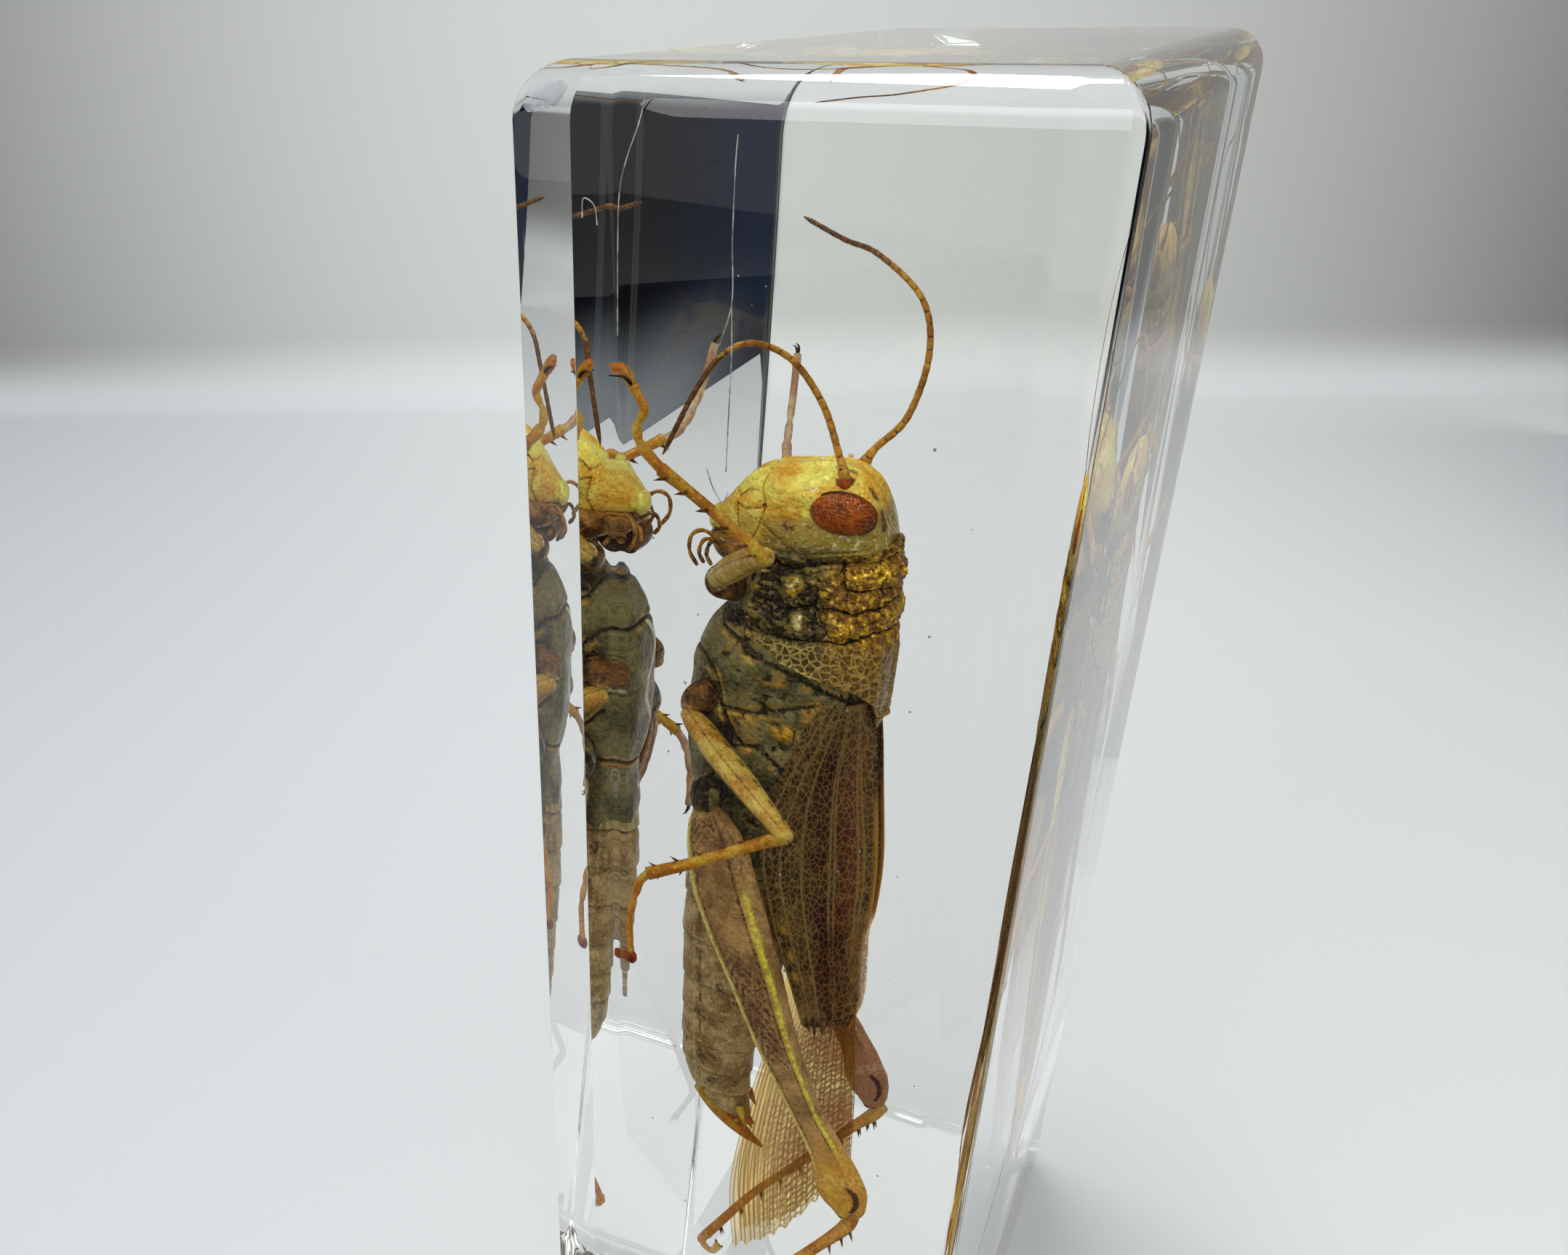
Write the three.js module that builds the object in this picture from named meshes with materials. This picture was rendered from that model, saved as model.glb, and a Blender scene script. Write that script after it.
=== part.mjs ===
// A clear resin block with an insect cast inside: an upright, slim cuboid that stands on one end.
// Millimetres, +Z up. The origin is the centre of the underside.
// X runs across the block's thickness, Y through its width, and Z up its length.
// The insect is sealed in the resin and reaches no outer surface, so the block is the only solid.

import * as THREE from 'three';

const THICKNESS = 20;
const WIDTH = 40;
const LENGTH = 80;

// The long edge at +X +Y is rounded over, and the one at -X +Y is left sharp.
const EDGE_RADIUS = 2;
const EDGE_STEPS = 4;
// The one at +X -Y has a narrow flat, ground at a slight slope to the -Y face (degrees).
const NARROW_FLAT = { along: 1.88, slope: 10 };
// The one at -X -Y was ground back in two flats that meet in a long crease: a narrow one nearly in line
// with the -Y face, and beyond it a wider and steeper one (degrees).
const GROUND_FLATS = [{ along: 1.65, slope: 4.5 }, { along: 2.9, slope: 21 }];

// Both ends are rounded over by polishing.
const END_RADIUS = 1.8;
const END_STEPS = 6;

const RESIN = new THREE.MeshStandardMaterial({
  name: 'clear_resin', color: 0xf3f5f2, roughness: 0.03, metalness: 0, transparent: true, opacity: 0.3,
});

const { degToRad } = THREE.MathUtils;

// The corners of the ground edge, walked from the -Y face to the -X face.
function groundEdge() {
  let x = -THICKNESS / 2 + GROUND_FLATS.reduce((total, flat) => total + flat.along, 0);
  let y = -WIDTH / 2;
  const corners = [[x, y]];
  for (const { along, slope } of GROUND_FLATS) {
    x -= along;
    y += along * Math.tan(degToRad(slope));
    corners.push([x, y]);
  }
  return corners;
}

// The corners of a rounded edge that faces +X +Y, anticlockwise over a quarter turn.
function roundedEdge(centreX, centreY) {
  return Array.from({ length: EDGE_STEPS + 1 }, (_, step) => {
    const angle = degToRad(90 * step / EDGE_STEPS);
    return [centreX + EDGE_RADIUS * Math.cos(angle), centreY + EDGE_RADIUS * Math.sin(angle)];
  });
}

// The block's cross-section at mid-length, anticlockwise from the end of the -Y face.
function crossSection() {
  const x = THICKNESS / 2;
  const y = WIDTH / 2;
  const corners = [
    [x - NARROW_FLAT.along, -y],
    [x, -y + NARROW_FLAT.along * Math.tan(degToRad(NARROW_FLAT.slope))],
    ...roundedEdge(x - EDGE_RADIUS, y - EDGE_RADIUS),
    [-x, y],
    ...groundEdge().reverse(),
  ];
  return corners.map(([px, py]) => new THREE.Vector2(px, py));
}

// Moves every edge of a convex outline inwards by `distance` and keeps it parallel to itself.
function insetOutline(corners, distance) {
  const last = corners.length - 1;
  const inward = corners.map((corner, index) => {
    const next = corners[index === last ? 0 : index + 1];
    const edge = next.clone().sub(corner).normalize();
    return new THREE.Vector2(-edge.y, edge.x);
  });
  return corners.map((corner, index) => {
    const before = inward[index === 0 ? last : index - 1];
    const after = inward[index];
    const reach = distance / (1 + before.dot(after));
    return before.clone().add(after).multiplyScalar(reach).add(corner);
  });
}

// The bevel grows outwards by END_RADIUS, so the extruded outline starts that much smaller.
function resinBlock() {
  const outline = new THREE.Shape(insetOutline(crossSection(), END_RADIUS));
  const geometry = new THREE.ExtrudeGeometry(outline, {
    depth: LENGTH - 2 * END_RADIUS,
    bevelEnabled: true,
    bevelSize: END_RADIUS,
    bevelThickness: END_RADIUS,
    bevelSegments: END_STEPS,
  });
  const block = new THREE.Mesh(geometry, RESIN);
  block.name = 'resin_block';
  block.position.z = END_RADIUS;
  return block;
}

const specimen = new THREE.Group();
specimen.name = 'insect_in_resin';
specimen.add(resinBlock());

export default specimen;
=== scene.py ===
"""A grasshopper cast in an upright block of clear resin.

The resin block stands for the CAD node resin_block. Everything inside it is modelled here, in
millimetres in the block's own frame: X across the thickness, Y through the width, Z up. The insect
hangs head up. Its back is towards +X, its underside towards -X, and its left side towards -Y.
"""
import math

import bmesh
import bpy
import numpy as np
from mathutils import Matrix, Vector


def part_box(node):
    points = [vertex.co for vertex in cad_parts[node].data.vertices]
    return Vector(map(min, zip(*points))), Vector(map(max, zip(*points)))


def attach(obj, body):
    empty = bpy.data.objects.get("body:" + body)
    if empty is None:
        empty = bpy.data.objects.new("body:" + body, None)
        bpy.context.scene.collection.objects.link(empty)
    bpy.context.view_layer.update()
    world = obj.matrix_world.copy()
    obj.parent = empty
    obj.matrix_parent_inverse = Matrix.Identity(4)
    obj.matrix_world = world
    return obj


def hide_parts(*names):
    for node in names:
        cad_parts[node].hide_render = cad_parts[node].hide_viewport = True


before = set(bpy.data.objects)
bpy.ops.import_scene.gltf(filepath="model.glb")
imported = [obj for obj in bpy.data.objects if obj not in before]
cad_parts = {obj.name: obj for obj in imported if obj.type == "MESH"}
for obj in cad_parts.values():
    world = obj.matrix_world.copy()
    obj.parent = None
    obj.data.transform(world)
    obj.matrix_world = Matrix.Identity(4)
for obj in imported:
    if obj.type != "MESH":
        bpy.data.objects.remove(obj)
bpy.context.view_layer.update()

MM = 0.001
BODY = "root"
random = np.random.default_rng(7)

# The photograph's width in pixels, and the camera worked out from the block's edges in it.
IMAGE_WIDTH = 2156
FOCAL_PIXELS = 1707.1
AXIS_COLUMN = 823.4
CAMERA_PLACE = (14.467, -56.165, 81.788)
CAMERA_PITCH = math.radians(26.935)
CAMERA_YAW = math.radians(29.832)
CAMERA_ROLL = math.radians(-0.922)

# The block, from its CAD node. Its curved edges are finer here than there.
low_corner, high_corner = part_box("resin_block")
THICKNESS = (high_corner.x - low_corner.x) / MM
WIDTH = (high_corner.y - low_corner.y) / MM
LENGTH = (high_corner.z - low_corner.z) / MM
EDGE_RADIUS = 2.0
BACK_LEFT_RADIUS = 0.12
NARROW_ALONG = 1.3
NARROW_SLOPE = 10.0
NARROW_RADIUS = 0.7
GROUND_FLATS = [(1.65, 4.5), (2.9, 21.0)]
EDGE_STEPS = 40
END_RADIUS = 1.8
RESIN_IOR = 1.5
RESIN_ABSORPTION = 0.01

# The stage. The wall's distance is from the camera, and the card's corners on the floor are X and Y.
# The card and the cloth lie outside the camera's own view. The cloth ends this far in front of it.
WORLD_STRENGTH = 0.72
WALL_DISTANCE = 281
COVE_RADIUS = 14
CARD_CORNERS = [(66.3, 250), (67.5, 215), (68, 143), (84, 124), (150, 114), (225, 100), (305, 70)]
CLOTH_EDGE = 26

# The insect's plane of symmetry. Its heights are measured from this far below the block's top.
MIDDLE = 4.4
INSECT_DATUM = 73


# ---------------------------------------------------------------- numbers

def curve(points, count):
    """`count` rows on a smooth curve through `points`. Extra columns, such as radii, follow it."""
    rows = np.asarray(points, float)
    padded = np.vstack([2 * rows[0] - rows[1], rows, 2 * rows[-1] - rows[-2]])
    place = np.linspace(0, len(rows) - 1, count)
    index = np.minimum(place.astype(int), len(rows) - 2)
    part = (place - index)[:, None]
    before, start, end, after = (padded[index + step] for step in range(4))
    return 0.5 * (
        2 * start
        + (end - before) * part
        + (2 * before - 5 * start + 4 * end - after) * part ** 2
        + (3 * start - before - 3 * end + after) * part ** 3
    )


def unit(vectors):
    lengths = np.linalg.norm(vectors, axis=-1, keepdims=True)
    return vectors / np.maximum(lengths, 1e-9)


def away_from(points, x, y, z):
    """Unit vectors from a point to `points`. A coordinate that is None stays level with each of them."""
    level = [points[..., axis] if place is None else place + 0 * points[..., axis]
             for axis, place in enumerate((x, y, z))]
    return unit(points - np.stack(level, -1))


def ramp(low, high, value):
    part = np.clip((value - low) / (high - low), 0, 1)
    return part * part * (3 - 2 * part)


def bell(value, centre, width):
    return np.exp(-((value - centre) / width) ** 2)


def far_side(points):
    """The same points on the insect's right side, across its plane of symmetry."""
    mirrored = np.array(points, float)
    mirrored[..., 1] = 2 * MIDDLE - mirrored[..., 1]
    return mirrored


def distance_to(points, line):
    """How far each point lies from a line of (x, z) corners, seen from the side."""
    flat = np.asarray(points)[..., [0, 2]]
    nearest = np.full(flat.shape[:-1], np.inf)
    corners = np.asarray(line, float)
    for start, end in zip(corners[:-1], corners[1:]):
        step = end - start
        part = np.clip((flat - start) @ step / (step @ step), 0, 1)
        offset = flat - start - part[..., None] * step
        nearest = np.minimum(nearest, np.linalg.norm(offset, axis=-1))
    return nearest


def stroke(points, line, width):
    """1 on a line seen from the side, falling to 0 within about `width` of it."""
    return np.exp(-(distance_to(points, line) / width) ** 2)


def strokes(points, lines, width):
    return strongest(*[stroke(points, line, width) for line in lines])


def spot(points, x, z, wide, high):
    """1 in the middle of an oval seen from the side, and 0 outside it, with a soft rim."""
    flat = np.asarray(points)
    reach = ((flat[..., 0] - x) / wide) ** 2 + ((flat[..., 2] - z) / high) ** 2
    return np.exp(-reach ** 2)


def strongest(*layers):
    return np.clip(np.maximum.reduce(layers), 0, 1)


# ---------------------------------------------------------------- meshes

def full_turn(count):
    """`count` angles evenly round a circle."""
    return np.linspace(0, 2 * math.pi, count, endpoint=False)


def rings_along(centres, wide_radii, thin_radii, sides, broad):
    """Rings round a centre line, with the wide radius along `broad` as nearly as the line allows."""
    along = unit(np.gradient(centres, axis=0))
    across = unit(np.cross(along, np.asarray(broad, float)))
    wide = np.cross(across, along)
    turn = full_turn(sides)
    return (
        centres[:, None]
        + wide[:, None] * (wide_radii[:, None] * np.cos(turn))[..., None]
        + across[:, None] * (thin_radii[:, None] * np.sin(turn))[..., None]
    )


def sweep(stations, sides=16, count=24, broad=(0, 1, 0)):
    """Rings along a smooth line. A station is x, y, z, the radius along `broad` and the other one."""
    rows = curve(stations, count)
    radii = np.maximum(rows[:, 3:], 0.004)
    return rings_along(rows[:, :3], radii[:, 0], radii[:, -1], sides, broad)


def barrel(stations, axis, sides, count):
    """Rings across `axis`, symmetric about the insect's middle.

    A station is the place along the axis, the low and the high end across it, the half width in Y
    and how square the section is: 2 is an ellipse.
    """
    rows = curve(stations, count)
    turn = full_turn(sides)
    power = 2 / rows[:, 4:5]
    along_cross = np.sign(np.cos(turn)) * np.abs(np.cos(turn)) ** power
    beside = np.sign(np.sin(turn)) * np.abs(np.sin(turn)) ** power
    middle = (rows[:, 1:2] + rows[:, 2:3]) / 2
    half = (rows[:, 2:3] - rows[:, 1:2]) / 2
    cross = middle + half * along_cross
    sideways = MIDDLE + rows[:, 3:4] * beside
    place = np.repeat(rows[:, 0:1], sides, axis=1)
    order = (place, sideways, cross) if axis == "X" else (cross, sideways, place)
    return np.stack(order, -1)


def tube_faces(index):
    """The four-sided faces between neighbouring rings of vertex numbers."""
    beside = np.roll(index, -1, axis=1)
    quads = np.stack([index[:-1], beside[:-1], beside[1:], index[1:]], -1).reshape(-1, 4)
    return [tuple(face) for face in quads.tolist()]


def closed_tube(rings):
    """Vertices and faces of a tube through `rings`, closed by a point at each end."""
    count, sides = rings.shape[:2]
    index = np.arange(count * sides).reshape(count, sides)
    beside = np.roll(index, -1, axis=1)
    faces = tube_faces(index)
    first, last = count * sides, count * sides + 1
    faces += [(first, int(b), int(a)) for a, b in zip(index[0], beside[0])]
    faces += [(last, int(a), int(b)) for a, b in zip(index[-1], beside[-1])]
    points = np.vstack([rings.reshape(-1, 3), rings[0].mean(0), rings[-1].mean(0)])
    return points, faces


def ball(centre, radii, rings=14, sides=20, turn=None):
    polar = np.linspace(0, math.pi, rings + 2)[1:-1, None]
    around = full_turn(sides)[None]
    flat = np.sin(polar)
    local = np.stack([flat * np.cos(around), flat * np.sin(around), np.cos(polar) + 0 * around], -1)
    local = local * np.asarray(radii, float)
    if turn is not None:
        local = local @ np.asarray(turn).T
    return closed_tube(local + np.asarray(centre, float))


def plate(grid, thickness):
    """A closed thin plate over a grid of points, shape (rows, columns, 3)."""
    down = np.gradient(grid, axis=0)
    across = np.gradient(grid, axis=1)
    normal = unit(np.cross(down, across))
    half = thickness / 2
    rows, columns = grid.shape[:2]
    front = np.arange(rows * columns).reshape(rows, columns)
    back = front + rows * columns
    quads = [np.stack([front[:-1, :-1], front[1:, :-1], front[1:, 1:], front[:-1, 1:]], -1)]
    quads.append(np.stack([back[:-1, :-1], back[:-1, 1:], back[1:, 1:], back[1:, :-1]], -1))
    for edge in (0, -1):
        for near, far in ((front[edge], back[edge]), (front[:, edge], back[:, edge])):
            quads.append(np.stack([near[:-1], near[1:], far[1:], far[:-1]], -1))
    faces = np.vstack([quad.reshape(-1, 4) for quad in quads]).tolist()
    points = np.vstack([(grid + normal * half).reshape(-1, 3), (grid - normal * half).reshape(-1, 3)])
    return points, [tuple(face) for face in faces]


def twice(layers):
    """Numbers over a grid, repeated for the front and the back of its plate."""
    return {name: np.tile(values.ravel(), 2) for name, values in layers.items()}


def joined(parts):
    """One list of vertices and one of faces from several."""
    points, faces, start = [], [], 0
    for part_points, part_faces in parts:
        points.append(part_points)
        faces.extend(tuple(corner + start for corner in face) for face in part_faces)
        start += len(part_points)
    return np.vstack(points), faces


def shape(name, mesh_parts, material, **layers):
    """A mesh object from (vertices, faces). Each layer is a number for each vertex, for materials."""
    points, faces = mesh_parts
    mesh = bpy.data.meshes.new(name)
    mesh.from_pydata((np.asarray(points) * MM).tolist(), [], faces)
    shell = bmesh.new()
    shell.from_mesh(mesh)
    bmesh.ops.recalc_face_normals(shell, faces=shell.faces)
    shell.to_mesh(mesh)
    shell.free()
    for layer, values in layers.items():
        attribute = mesh.attributes.new(layer, "FLOAT", "POINT")
        attribute.data.foreach_set("value", np.asarray(values, np.float32))
    mesh.shade_smooth()
    mesh.materials.append(material)
    made = bpy.data.objects.new(name, mesh)
    bpy.context.scene.collection.objects.link(made)
    return made


def piece(name, mesh_parts, material, **layers):
    """A shape that rides on the block."""
    points, faces = mesh_parts
    raised = np.asarray(points) + [0, 0, LENGTH - INSECT_DATUM]
    made = shape(name, (raised, faces), material, **layers)
    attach(made, BODY)
    return made


def tube(name, rings, material, **layers):
    piece(name, closed_tube(rings), material, **layers)


def along_and_round(count, sides):
    """Each vertex of a closed tube: its place along it, from 0 to 1, and its angle round it."""
    place = np.append(np.repeat(np.linspace(0, 1, count), sides), [0, 1])
    turn = np.append(np.tile(full_turn(sides), count), [0, 0])
    return place, turn


# ---------------------------------------------------------------- materials

class Look:
    """One material's nodes. Lengths in it are millimetres."""

    def __init__(self, name):
        self.material = bpy.data.materials.new(name)
        self.material.use_nodes = True
        self.tree = self.material.node_tree
        self.tree.nodes.clear()
        coordinates = self.add("TexCoord")
        self.place = self.add(
            "VectorMath", {0: coordinates.outputs["Object"], "Scale": 1 / MM},
            operation="SCALE",
        ).outputs[0]

    def add(self, kind, inputs=None, **settings):
        made = self.tree.nodes.new("ShaderNode" + kind)
        for name, value in settings.items():
            setattr(made, name, value)
        for socket, value in (inputs or {}).items():
            if isinstance(value, bpy.types.NodeSocket):
                self.tree.links.new(value, made.inputs[socket])
            else:
                made.inputs[socket].default_value = value
        return made

    def stretched(self, scale, tilt=0.0):
        """The place, turned about Y and then scaled by three factors."""
        return self.add(
            "Mapping",
            {"Vector": self.place, "Rotation": (0, tilt, 0), "Scale": scale},
            vector_type="POINT",
        ).outputs[0]

    def noise(self, scale, detail=3.0, rough=0.55, place=None):
        inputs = {"Vector": place or self.place, "Scale": scale, "Detail": detail, "Roughness": rough}
        return self.add("TexNoise", inputs).outputs[0]

    def cells(self, scale, feature="F1", place=None):
        inputs = {"Vector": place or self.place, "Scale": scale}
        return self.add("TexVoronoi", inputs, feature=feature).outputs["Distance"]

    def layer(self, name):
        return self.add("Attribute", attribute_name=name).outputs["Fac"]

    def span(self, value, low, high, start=0.0, end=1.0):
        inputs = {"Value": value, 1: low, 2: high, 3: start, 4: end}
        return self.add("MapRange", inputs, interpolation_type="SMOOTHSTEP").outputs[0]

    def count(self, operation, first, second=0.0):
        return self.add("Math", {0: first, 1: second}, operation=operation).outputs[0]

    def times(self, first, second):
        return self.count("MULTIPLY", first, second)

    def blend(self, part, first, second, how="MIX"):
        first, second = (rgb(colour) if isinstance(colour, str) else colour for colour in (first, second))
        if not any(isinstance(value, bpy.types.NodeSocket) for value in (part, first, second)):
            return tuple(start + part * (end - start) for start, end in zip(first, second))
        inputs = {0: part, 6: first, 7: second}
        return self.add("Mix", inputs, data_type="RGBA", blend_type=how).outputs[2]

    def bump(self, height, depth, strength=1.0):
        inputs = {"Height": height, "Distance": depth * MM, "Strength": strength}
        return self.add("Bump", inputs).outputs[0]

    def finish(self, shader, volume=None):
        self.add("OutputMaterial", {"Surface": shader, "Volume": volume} if volume else {"Surface": shader})
        return self.material


def rgb(text):
    """A linear colour from sRGB hexadecimal."""
    parts = [int(text[start:start + 2], 16) / 255 for start in (0, 2, 4)]
    linear = [part / 12.92 if part <= 0.04045 else ((part + 0.055) / 1.055) ** 2.4 for part in parts]
    return (*linear, 1.0)


def cuticle(
    name, dark, light, mark="2a1a12", pale="e8dcae", tints=(), net=None, grain=5.0, relief=0.05,
    rough=0.2, glow=0.4, glow_depth=0.5, patch=0.6, gloss=0.3, clear=0.0, metal=0.0, fleck=0.25,
):
    """Insect shell: two mottled colours, then tints, a net, and pale and dark marks, by mesh layers.

    Colours are sRGB. A tint is (layer, colour). A net is (line colour, cell colour, cells in a
    millimetre, line width, layer, how strong). `patch` is how many mottles there are in a
    millimetre, `grain` how many grains, and `fleck` how much these differ in tone. `clear` is the
    part that light goes straight through, and `metal` is how much the "gold" layer glitters. That
    layer marks painted glints: its tint paints golden highlights into the colour.
    """
    look = Look(name)
    mottle = look.span(look.noise(patch, 5, 0.62), 0.36, 0.64)
    colour = look.blend(mottle, dark, light)
    # Some tints are painted light: the "gold" tint paints golden glints into the colour.
    for layer, tint in tints:
        colour = look.blend(look.layer(layer), colour, tint)
    fine = look.span(look.noise(grain, 4, 0.6), 0.3, 0.7, 1.03 - fleck, 1.03 + fleck)
    colour = look.blend(1.0, colour, fine, "MULTIPLY")
    height = look.span(look.cells(grain), 0.0, 0.6, 1.0, 0.0)
    if net:
        line_colour, cell_colour, scale, width, layer, strength = net
        edge = look.cells(scale, "DISTANCE_TO_EDGE")
        line = look.span(edge, width * 0.5, width, 1.0, 0.0)
        part = look.times(look.layer(layer), strength) if layer else strength
        netted = look.blend(line, cell_colour, line_colour)
        colour = look.blend(part, colour, look.blend(0.6, colour, netted))
        ridge = look.times(line, look.times(part, 2.5))
        height = look.count("ADD", height, ridge)
    wobble = look.span(look.noise(5.0, 4, 0.7), 0.25, 0.75, -0.25, 0.25)
    pale_part = look.span(look.count("ADD", look.layer("pale"), wobble), 0.3, 0.75)
    colour = look.blend(pale_part, colour, pale)
    mark_part = look.span(look.count("ADD", look.layer("mark"), wobble), 0.28, 0.75)
    colour = look.blend(mark_part, colour, mark)
    surface = look.add("BsdfPrincipled", {
        "Base Color": colour,
        "Roughness": rough,
        "Specular IOR Level": gloss,
        "Specular Tint": (1.0, 0.78, 0.42, 1.0),
        "Transmission Weight": clear,
        "Metallic": look.times(look.layer("gold"), metal) if metal else 0.0,
        "Subsurface Weight": glow,
        "Subsurface Radius": (1.0, 0.62, 0.22),
        "Subsurface Scale": glow_depth * MM,
        "Normal": look.bump(height, relief),
    })
    return look.finish(surface.outputs[0])


# ---------------------------------------------------------------- camera, light and stage

def frame_of(right, up, forward, place):
    """The matrix of something that looks along `forward` from `place`, in millimetres."""
    columns = [right, up, -forward, np.array(place) * MM]
    return Matrix([[column[row] for column in columns] for row in range(3)] + [[0, 0, 0, 1]])


def place_camera():
    pitch, yaw, roll = CAMERA_PITCH, CAMERA_YAW, CAMERA_ROLL
    ahead = np.array([-math.sin(yaw), math.cos(yaw), 0.0])
    forward = ahead * math.cos(pitch) - np.array([0.0, 0.0, math.sin(pitch)])
    level_right = np.array([math.cos(yaw), math.sin(yaw), 0.0])
    level_up = np.cross(level_right, forward)
    right = math.cos(roll) * level_right + math.sin(roll) * level_up
    up = -math.sin(roll) * level_right + math.cos(roll) * level_up
    data = bpy.data.cameras.new("camera")
    data.sensor_width = 36
    data.lens = 36 * FOCAL_PIXELS / IMAGE_WIDTH
    data.shift_x = (IMAGE_WIDTH / 2 - AXIS_COLUMN) / IMAGE_WIDTH
    data.clip_start = 0.001
    camera = bpy.data.objects.new("camera", data)
    camera.matrix_world = frame_of(right, up, forward, CAMERA_PLACE)
    bpy.context.scene.collection.objects.link(camera)
    bpy.context.scene.camera = camera


def light_world():
    scene = bpy.context.scene
    world = bpy.data.worlds.new("studio")
    world.use_nodes = True
    background = world.node_tree.nodes["Background"]
    background.inputs["Color"].default_value = (0.97, 0.985, 1.0, 1)
    background.inputs["Strength"].default_value = WORLD_STRENGTH
    scene.world = world
    scene.view_settings.view_transform = "Standard"
    scene.view_settings.look = "None"
    scene.cycles.max_bounces = 24
    scene.cycles.transmission_bounces = 20
    scene.cycles.glossy_bounces = 12
    scene.cycles.diffuse_bounces = 4
    scene.cycles.transparent_max_bounces = 16
    scene.cycles.use_denoising = True


def soft_panel(name, centre, target, size, power):
    data = bpy.data.lights.new(name, "AREA")
    data.shape = "RECTANGLE"
    data.size, data.size_y = size[0] * MM, size[1] * MM
    data.energy = power
    panel = bpy.data.objects.new(name, data)
    aim = unit(np.asarray(target, float) - np.asarray(centre, float))
    side = unit(np.cross(aim, [0.0, 0.0, 1.0]))
    panel.matrix_world = frame_of(side, np.cross(side, aim), aim, centre)
    bpy.context.scene.collection.objects.link(panel)


def dark_paper(name, foot):
    """Nearly black paper, blue far back. Further forward its foot is pale, as much as `foot` says."""
    look = Look(name)
    place = look.add("SeparateXYZ", {0: look.place})
    back = look.span(place.outputs[1], 150, 225)
    low = look.span(place.outputs[2], 0, 24, foot, 0.0)
    fade = look.times(low, look.span(back, 0, 1, 1.0, 0.1))
    cast = look.blend(look.span(look.noise(0.012, 2), 0.4, 0.6), "02060e", "0c0b09")
    cast = look.blend(back, cast, "0a1e3c")
    colour = look.blend(fade, cast, "b4b8bc")
    surface = look.add("BsdfDiffuse", {"Color": colour})
    return look.finish(surface.outputs[0])


def painted_light_backdrop(centre, right):
    """A floor with painted light, paler towards the right, and a wall with a painted light falloff, darker
    away from `centre`.
    """
    look = Look("stage_paper_painted_light")
    # Painted light falloff: the wall is painted pale near `centre` and dark further from it.
    offset = look.add("VectorMath", {0: look.place, 1: centre}, operation="DISTANCE")
    wall = look.blend(look.span(offset.outputs["Value"], 40, 300), "cdcfcb", "3a3c39")
    # Painted light: the floor is painted paler towards the right.
    beside = look.add("VectorMath", {0: look.place, 1: right}, operation="DOT_PRODUCT")
    floor = look.blend(look.span(beside.outputs["Value"], -170, 60), "b2b6b8", "cfd2d3")
    height = look.add("SeparateXYZ", {0: look.place}).outputs[2]
    colour = look.blend(look.span(height, 0.5, 12), floor, wall)
    surface = look.add("BsdfDiffuse", {"Color": colour})
    return look.finish(surface.outputs[0])


def build_stage():
    """A pale floor that turns up into a wall, and dark papers that only the resin's faces show."""
    forward = np.array([-math.sin(CAMERA_YAW), math.cos(CAMERA_YAW)])
    right = np.array([math.cos(CAMERA_YAW), math.sin(CAMERA_YAW)])
    eye = np.array(CAMERA_PLACE[:2])
    # The side view of floor, cove and wall: distance in front of the camera, and height.
    cove = [
        (WALL_DISTANCE - COVE_RADIUS * (1 - math.sin(angle)), COVE_RADIUS * (1 - math.cos(angle)))
        for angle in np.linspace(0, math.pi / 2, 10)
    ]
    profile = [(-500, 0), (-200, 0), (0, 0), (WALL_DISTANCE * 0.6, 0), *cove, (WALL_DISTANCE, 600)]
    grid = np.array([
        [[*(eye + forward * ahead + right * beside), height] for beside in np.linspace(-900, 900, 13)]
        for ahead, height in profile
    ])
    sheet = painted_light_backdrop((*(eye + forward * WALL_DISTANCE + right * 50), 35), (*right, 0))
    backdrop = shape("backdrop", plate(grid, 0.5), sheet)
    backdrop.location.z = -0.3 * MM
    card_grid = np.array([[[*corner, height] for corner in CARD_CORNERS] for height in (0.2, 60, 260)])
    dark_card = shape("dark_card", plate(card_grid, 0.6), dark_paper("dark_card_paper", 0.8))
    cloth_grid = np.array([
        [[*(eye + forward * ahead + right * beside), 0.3] for beside in np.linspace(-420, 420, 9)]
        for ahead in np.linspace(-480, CLOTH_EDGE, 9)
    ])
    dark_cloth = shape("dark_cloth", plate(cloth_grid, 0.3), dark_paper("dark_cloth_paper", 0.08))


# ---------------------------------------------------------------- the resin block

def block_section():
    """The block's section at mid-length: outward normals and distances of its faces."""
    x, y = THICKNESS / 2, WIDTH / 2
    # The long edges that are curved: centre, radius, and where the normal starts and ends.
    narrow = math.radians(NARROW_SLOPE)
    narrow_y = -y + NARROW_RADIUS * math.cos(narrow) + NARROW_ALONG * math.tan(narrow)
    curves = [
        (x - EDGE_RADIUS, y - EDGE_RADIUS, EDGE_RADIUS, 0, math.pi / 2),
        (-x + BACK_LEFT_RADIUS, y - BACK_LEFT_RADIUS, BACK_LEFT_RADIUS, math.pi / 2, math.pi),
        (x - NARROW_RADIUS, narrow_y, NARROW_RADIUS, narrow - math.pi / 2, 0),
    ]
    faces = [(1, 0, x), (-1, 0, x), (0, 1, y), (0, -1, y)]
    for centre_x, centre_y, radius, start, end in curves:
        for angle in np.linspace(start, end, EDGE_STEPS):
            normal = (math.cos(angle), math.sin(angle))
            faces.append((*normal, normal[0] * centre_x + normal[1] * centre_y + radius))
    place = np.array([-x + sum(along for along, slope in GROUND_FLATS), -y])
    for along, slope in GROUND_FLATS:
        slope = math.radians(slope)
        normal = np.array([-math.sin(slope), -math.cos(slope)])
        faces.append((*normal, float(normal @ place)))
        place += (-along, along * math.tan(slope))
    return np.array(faces)


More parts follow.
